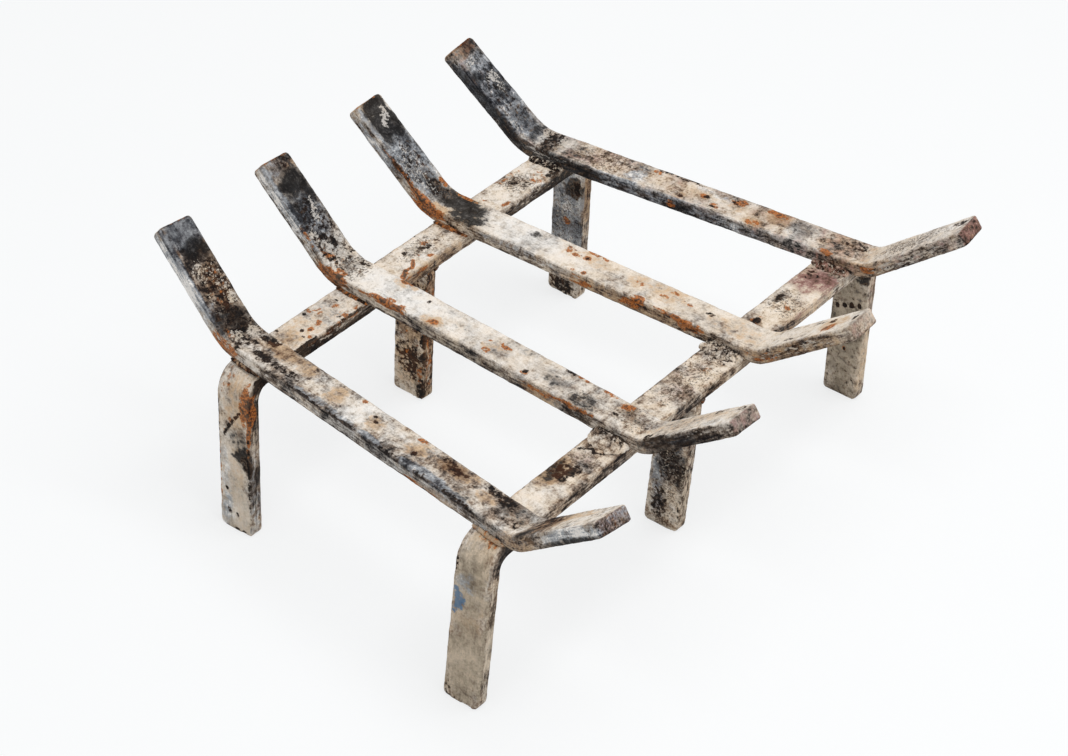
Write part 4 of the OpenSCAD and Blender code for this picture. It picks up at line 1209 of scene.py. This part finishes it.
DROPS = 8  # drops of weld metal in a bead
HOLLOW = 1.3  # 2 is a round fillet and 1 a flat one
SLAG = {"crust": 0.35, "rust": 0.2, "flecks": 0.2, "light": -0.15, "root": 0.3, "mottle": 0.6}
BEADS = {  # reach, rise, paints and stray drops of the beads that show; the others are alike
    ("front", 1, "left"): (2.4, 2.4, {"rust": 0.25, "stain": 0.6, "light": 0.1, "root": 0.3}, ()),
    ("front", 2, "left"): (12.5, 5.5, {"crust": 0.12, "flecks": 0.15, "bare": 0.3, "light": 0.1, "mottle": 0.5,
                                       "root": 0.6, "rust": 0.05}, ()),
    ("front", 3, "left"): (9.0, 5.5, {"crust": 0.26, "rust": 0.12, "flecks": 0.25, "mottle": 0.7, "root": 0.4,
                                      "light": 0.05}, ((4.5, -12.0, 1.0, 2.8),)),
    ("front", 4, "left"): (6.0, 4.0, {"crust": 0.3, "rust": 0.1, "stain": 0.6, "plum": 0.7, "flecks": 0.25, "light": -0.1,
                                      "root": 0.3, "mottle": 0.6}, ()),
    ("rear", 1, "left"): (2.0, 2.0, {"rust": 0.3, "crust": 0.45, "stain": 0.5, "light": -0.1}, ()),
    ("rear", 2, "left"): (2.0, 2.0, {"rust": 0.55, "crust": 0.4, "stain": 0.5, "light": -0.2}, ()),
    ("rear", 3, "left"): (2.2, 2.2, {"rust": 0.6, "crust": 0.35, "stain": 0.5, "light": -0.2}, ()),
    ("rear", 4, "left"): (4.0, 4.0, {"crust": 0.7, "flecks": 0.3, "light": -0.3, "mottle": 0.6},
                          ((2.5, 9.5, 1.0, 1.6),)),
}


class GRATE_OT_bar_welds(Operator):
    """Runs the fillet welds along both sides of each bar where it crosses a rail"""
    bl_idname = "grate.bar_welds"
    bl_label = "Bar welds"

    def execute(self, context):
        s = sizes()
        finish = fire_steel("Weld slag", 31, 0.55, 0.7)
        crossings = [(rail, number, side) for rail in RAILS for number in BARS for side in ("left", "right")]
        reach, rise = PLAIN_BEAD
        plain = bead("plain_bead", reach, s.stock_width / 2, rise, 0)
        paint_bead(plain, reach, s.stock_width / 2, SLAG)
        for seed, crossing in enumerate(crossings):
            if crossing in BEADS:
                reach, rise, paints, stray = BEADS[crossing]
                spatter = [((x * MM, y * MM, z * MM), radius * MM) for x, y, z, radius in stray]
                made = bead("bead", reach * MM, s.stock_width / 2, rise * MM, seed, spatter)
                paint_bead(made, reach * MM, s.stock_width / 2, paints)
            else:
                made = copy_of(plain)
            self.place_weld(s, crossing, made, finish)
        bpy.data.objects.remove(plain)
        return {"FINISHED"}

    def place_weld(self, s, crossing, made, finish):
        rail, number, side = crossing
        node = f"weld_{rail}_{number}_{side}"
        made.name = made.data.name = f"{node}_slag"
        sign = -1 if side == "left" else 1
        turn = bar_angle(number)
        y = rail_y(rail)
        edge = bar_middle(number) - y * math.tan(turn) + sign * s.stock_width / 2 / math.cos(turn)
        if side == "left":
            turn += math.pi
        place_piece(made, (edge, y, rail_top()), turn)
        roughen(made, "Weld lumps", 0.0035, 0.0014, 2)
        roughen(made, "Weld grit", 0.0012, 0.0006, 2)
        hand_over(made, node, finish)


class GRATE_OT_leg_welds(Operator):
    """Runs the fillet welds between each middle leg and the underside of its rail"""
    bl_idname = "grate.leg_welds"
    bl_label = "Leg welds"

    def execute(self, context):
        s = sizes()
        finish = fire_steel("Weld slag under rails", 37, 0.5, 0.6)
        reach, rise = PLAIN_BEAD
        plain = bead("plain_leg_bead", reach, s.stock_width / 2 - 0.5 * MM, rise, 1)
        paint_bead(plain, reach, s.stock_width / 2, SLAG)
        for rail in RAILS:
            for side in ("left", "right"):
                node = f"weld_{rail}_leg_{side}"
                sign = -1 if side == "left" else 1
                made = copy_of(plain)
                made.name = made.data.name = f"{node}_slag"
                made.rotation_euler = (math.pi, 0, 0 if side == "right" else math.pi)
                bpy.ops.object.transform_apply(location=True, rotation=True, scale=True)
                place_piece(made, (MIDDLE_LEG_X * MM + sign * s.stock_thickness / 2, rail_y(rail),
                                   rail_top() - s.stock_thickness))
                roughen(made, "Weld lumps", 0.004, 0.0012, 2)
                hand_over(made, node, finish)
        bpy.data.objects.remove(plain)
        return {"FINISHED"}


class GRATE_OT_stage(Operator):
    """Lays the floor, hangs the lights and sets the camera"""
    bl_idname = "grate.stage"
    bl_label = "Stage"

    def execute(self, context):
        st = context.scene.grate_stage
        begin()
        bpy.ops.mesh.primitive_plane_add(size=st.floor_size, location=(0, 0, 0))
        floor = context.object
        floor.name = "floor"
        floor.data.materials.append(plain_floor("Pale floor"))
        self.set_camera(context, st)
        self.set_lights(context, st)
        context.scene.view_settings.view_transform = "Standard"
        return {"FINISHED"}

    def set_camera(self, context, st):
        turn, lift = st.camera_turn, st.camera_lift
        back = Vector((math.sin(turn) * math.cos(lift), -math.cos(turn) * math.cos(lift), math.sin(lift)))
        side = Vector((math.cos(turn), math.sin(turn), 0))
        rise = back.cross(side)
        c, s = math.cos(st.camera_roll), math.sin(st.camera_roll)
        axes = Matrix((c * side + s * rise, -s * side + c * rise, back)).transposed()
        place = -(axes @ Vector((st.camera_right, st.camera_up, -st.camera_distance)))
        data = bpy.data.cameras.new("Camera")
        data.sensor_width = 36.0
        data.lens = st.focal_pixels / PHOTO_WIDTH * data.sensor_width
        data.shift_x = (PHOTO_WIDTH / 2 - st.centre_x) / PHOTO_WIDTH
        data.shift_y = (st.centre_y - PHOTO_HEIGHT / 2) / PHOTO_WIDTH
        data.clip_end = 50.0
        camera = bpy.data.objects.new("Camera", data)
        camera.matrix_world = Matrix.Translation(place) @ axes.to_4x4()
        context.scene.collection.objects.link(camera)
        context.scene.camera = camera

    def set_lights(self, context, st):
        world = bpy.data.worlds.new("Even light")
        world.use_nodes = True
        tree = world.node_tree
        background = tree.nodes["Background"]
        background.inputs["Color"].default_value = (1.0, 1.0, 1.0, 1.0)
        path = tree.nodes.new("ShaderNodeLightPath")
        seen = tree.nodes.new("ShaderNodeMath")
        seen.operation = "MAXIMUM"
        strength = tree.nodes.new("ShaderNodeMapRange")
        strength.inputs["To Min"].default_value = st.world_strength
        tree.links.new(path.outputs["Is Camera Ray"], seen.inputs[0])
        tree.links.new(path.outputs["Is Glossy Ray"], seen.inputs[1])
        tree.links.new(seen.outputs[0], strength.inputs["Value"])
        tree.links.new(strength.outputs[0], background.inputs["Strength"])
        context.scene.world = world
        data = bpy.data.lights.new("Overhead lamp", "AREA")
        data.size = 1.4
        data.energy = st.lamp_power
        lamp = bpy.data.objects.new("Overhead lamp", data)
        lamp.location = (0.1, -0.5, 1.95)
        lamp.rotation_euler = (Vector((0, 0, 0.08)) - lamp.location).to_track_quat("-Z", "Y").to_euler()
        context.scene.collection.objects.link(lamp)


class GRATE_PT_panel(Panel):
    """Lists the steps that build the grate"""
    bl_idname = "GRATE_PT_panel"
    bl_label = "Log grate"
    bl_space_type = "VIEW_3D"
    bl_region_type = "UI"
    bl_category = "Log grate"

    def draw(self, context):
        for step in STEPS:
            self.layout.operator(step.bl_idname)
        for group in (context.scene.grate_sizes, context.scene.grate_colours, context.scene.grate_stage):
            box = self.layout.box()
            for name in group.__annotations__:
                box.prop(group, name)


STEPS = (GRATE_OT_stage, GRATE_OT_log_bars, GRATE_OT_rails, GRATE_OT_middle_legs, GRATE_OT_bar_welds,
         GRATE_OT_leg_welds)
CLASSES = (GrateSizes, GrateColours, GrateStage) + STEPS + (GRATE_PT_panel,)


def register():
    for item in CLASSES:
        bpy.utils.register_class(item)
    bpy.types.Scene.grate_sizes = PointerProperty(type=GrateSizes)
    bpy.types.Scene.grate_colours = PointerProperty(type=GrateColours)
    bpy.types.Scene.grate_stage = PointerProperty(type=GrateStage)


def unregister():
    del bpy.types.Scene.grate_stage
    del bpy.types.Scene.grate_colours
    del bpy.types.Scene.grate_sizes
    for item in reversed(CLASSES):
        bpy.utils.unregister_class(item)


def main():
    register()
    for step in STEPS:
        group, name = step.bl_idname.split(".")
        getattr(getattr(bpy.ops, group), name)()


if __name__ == "__main__":
    main()
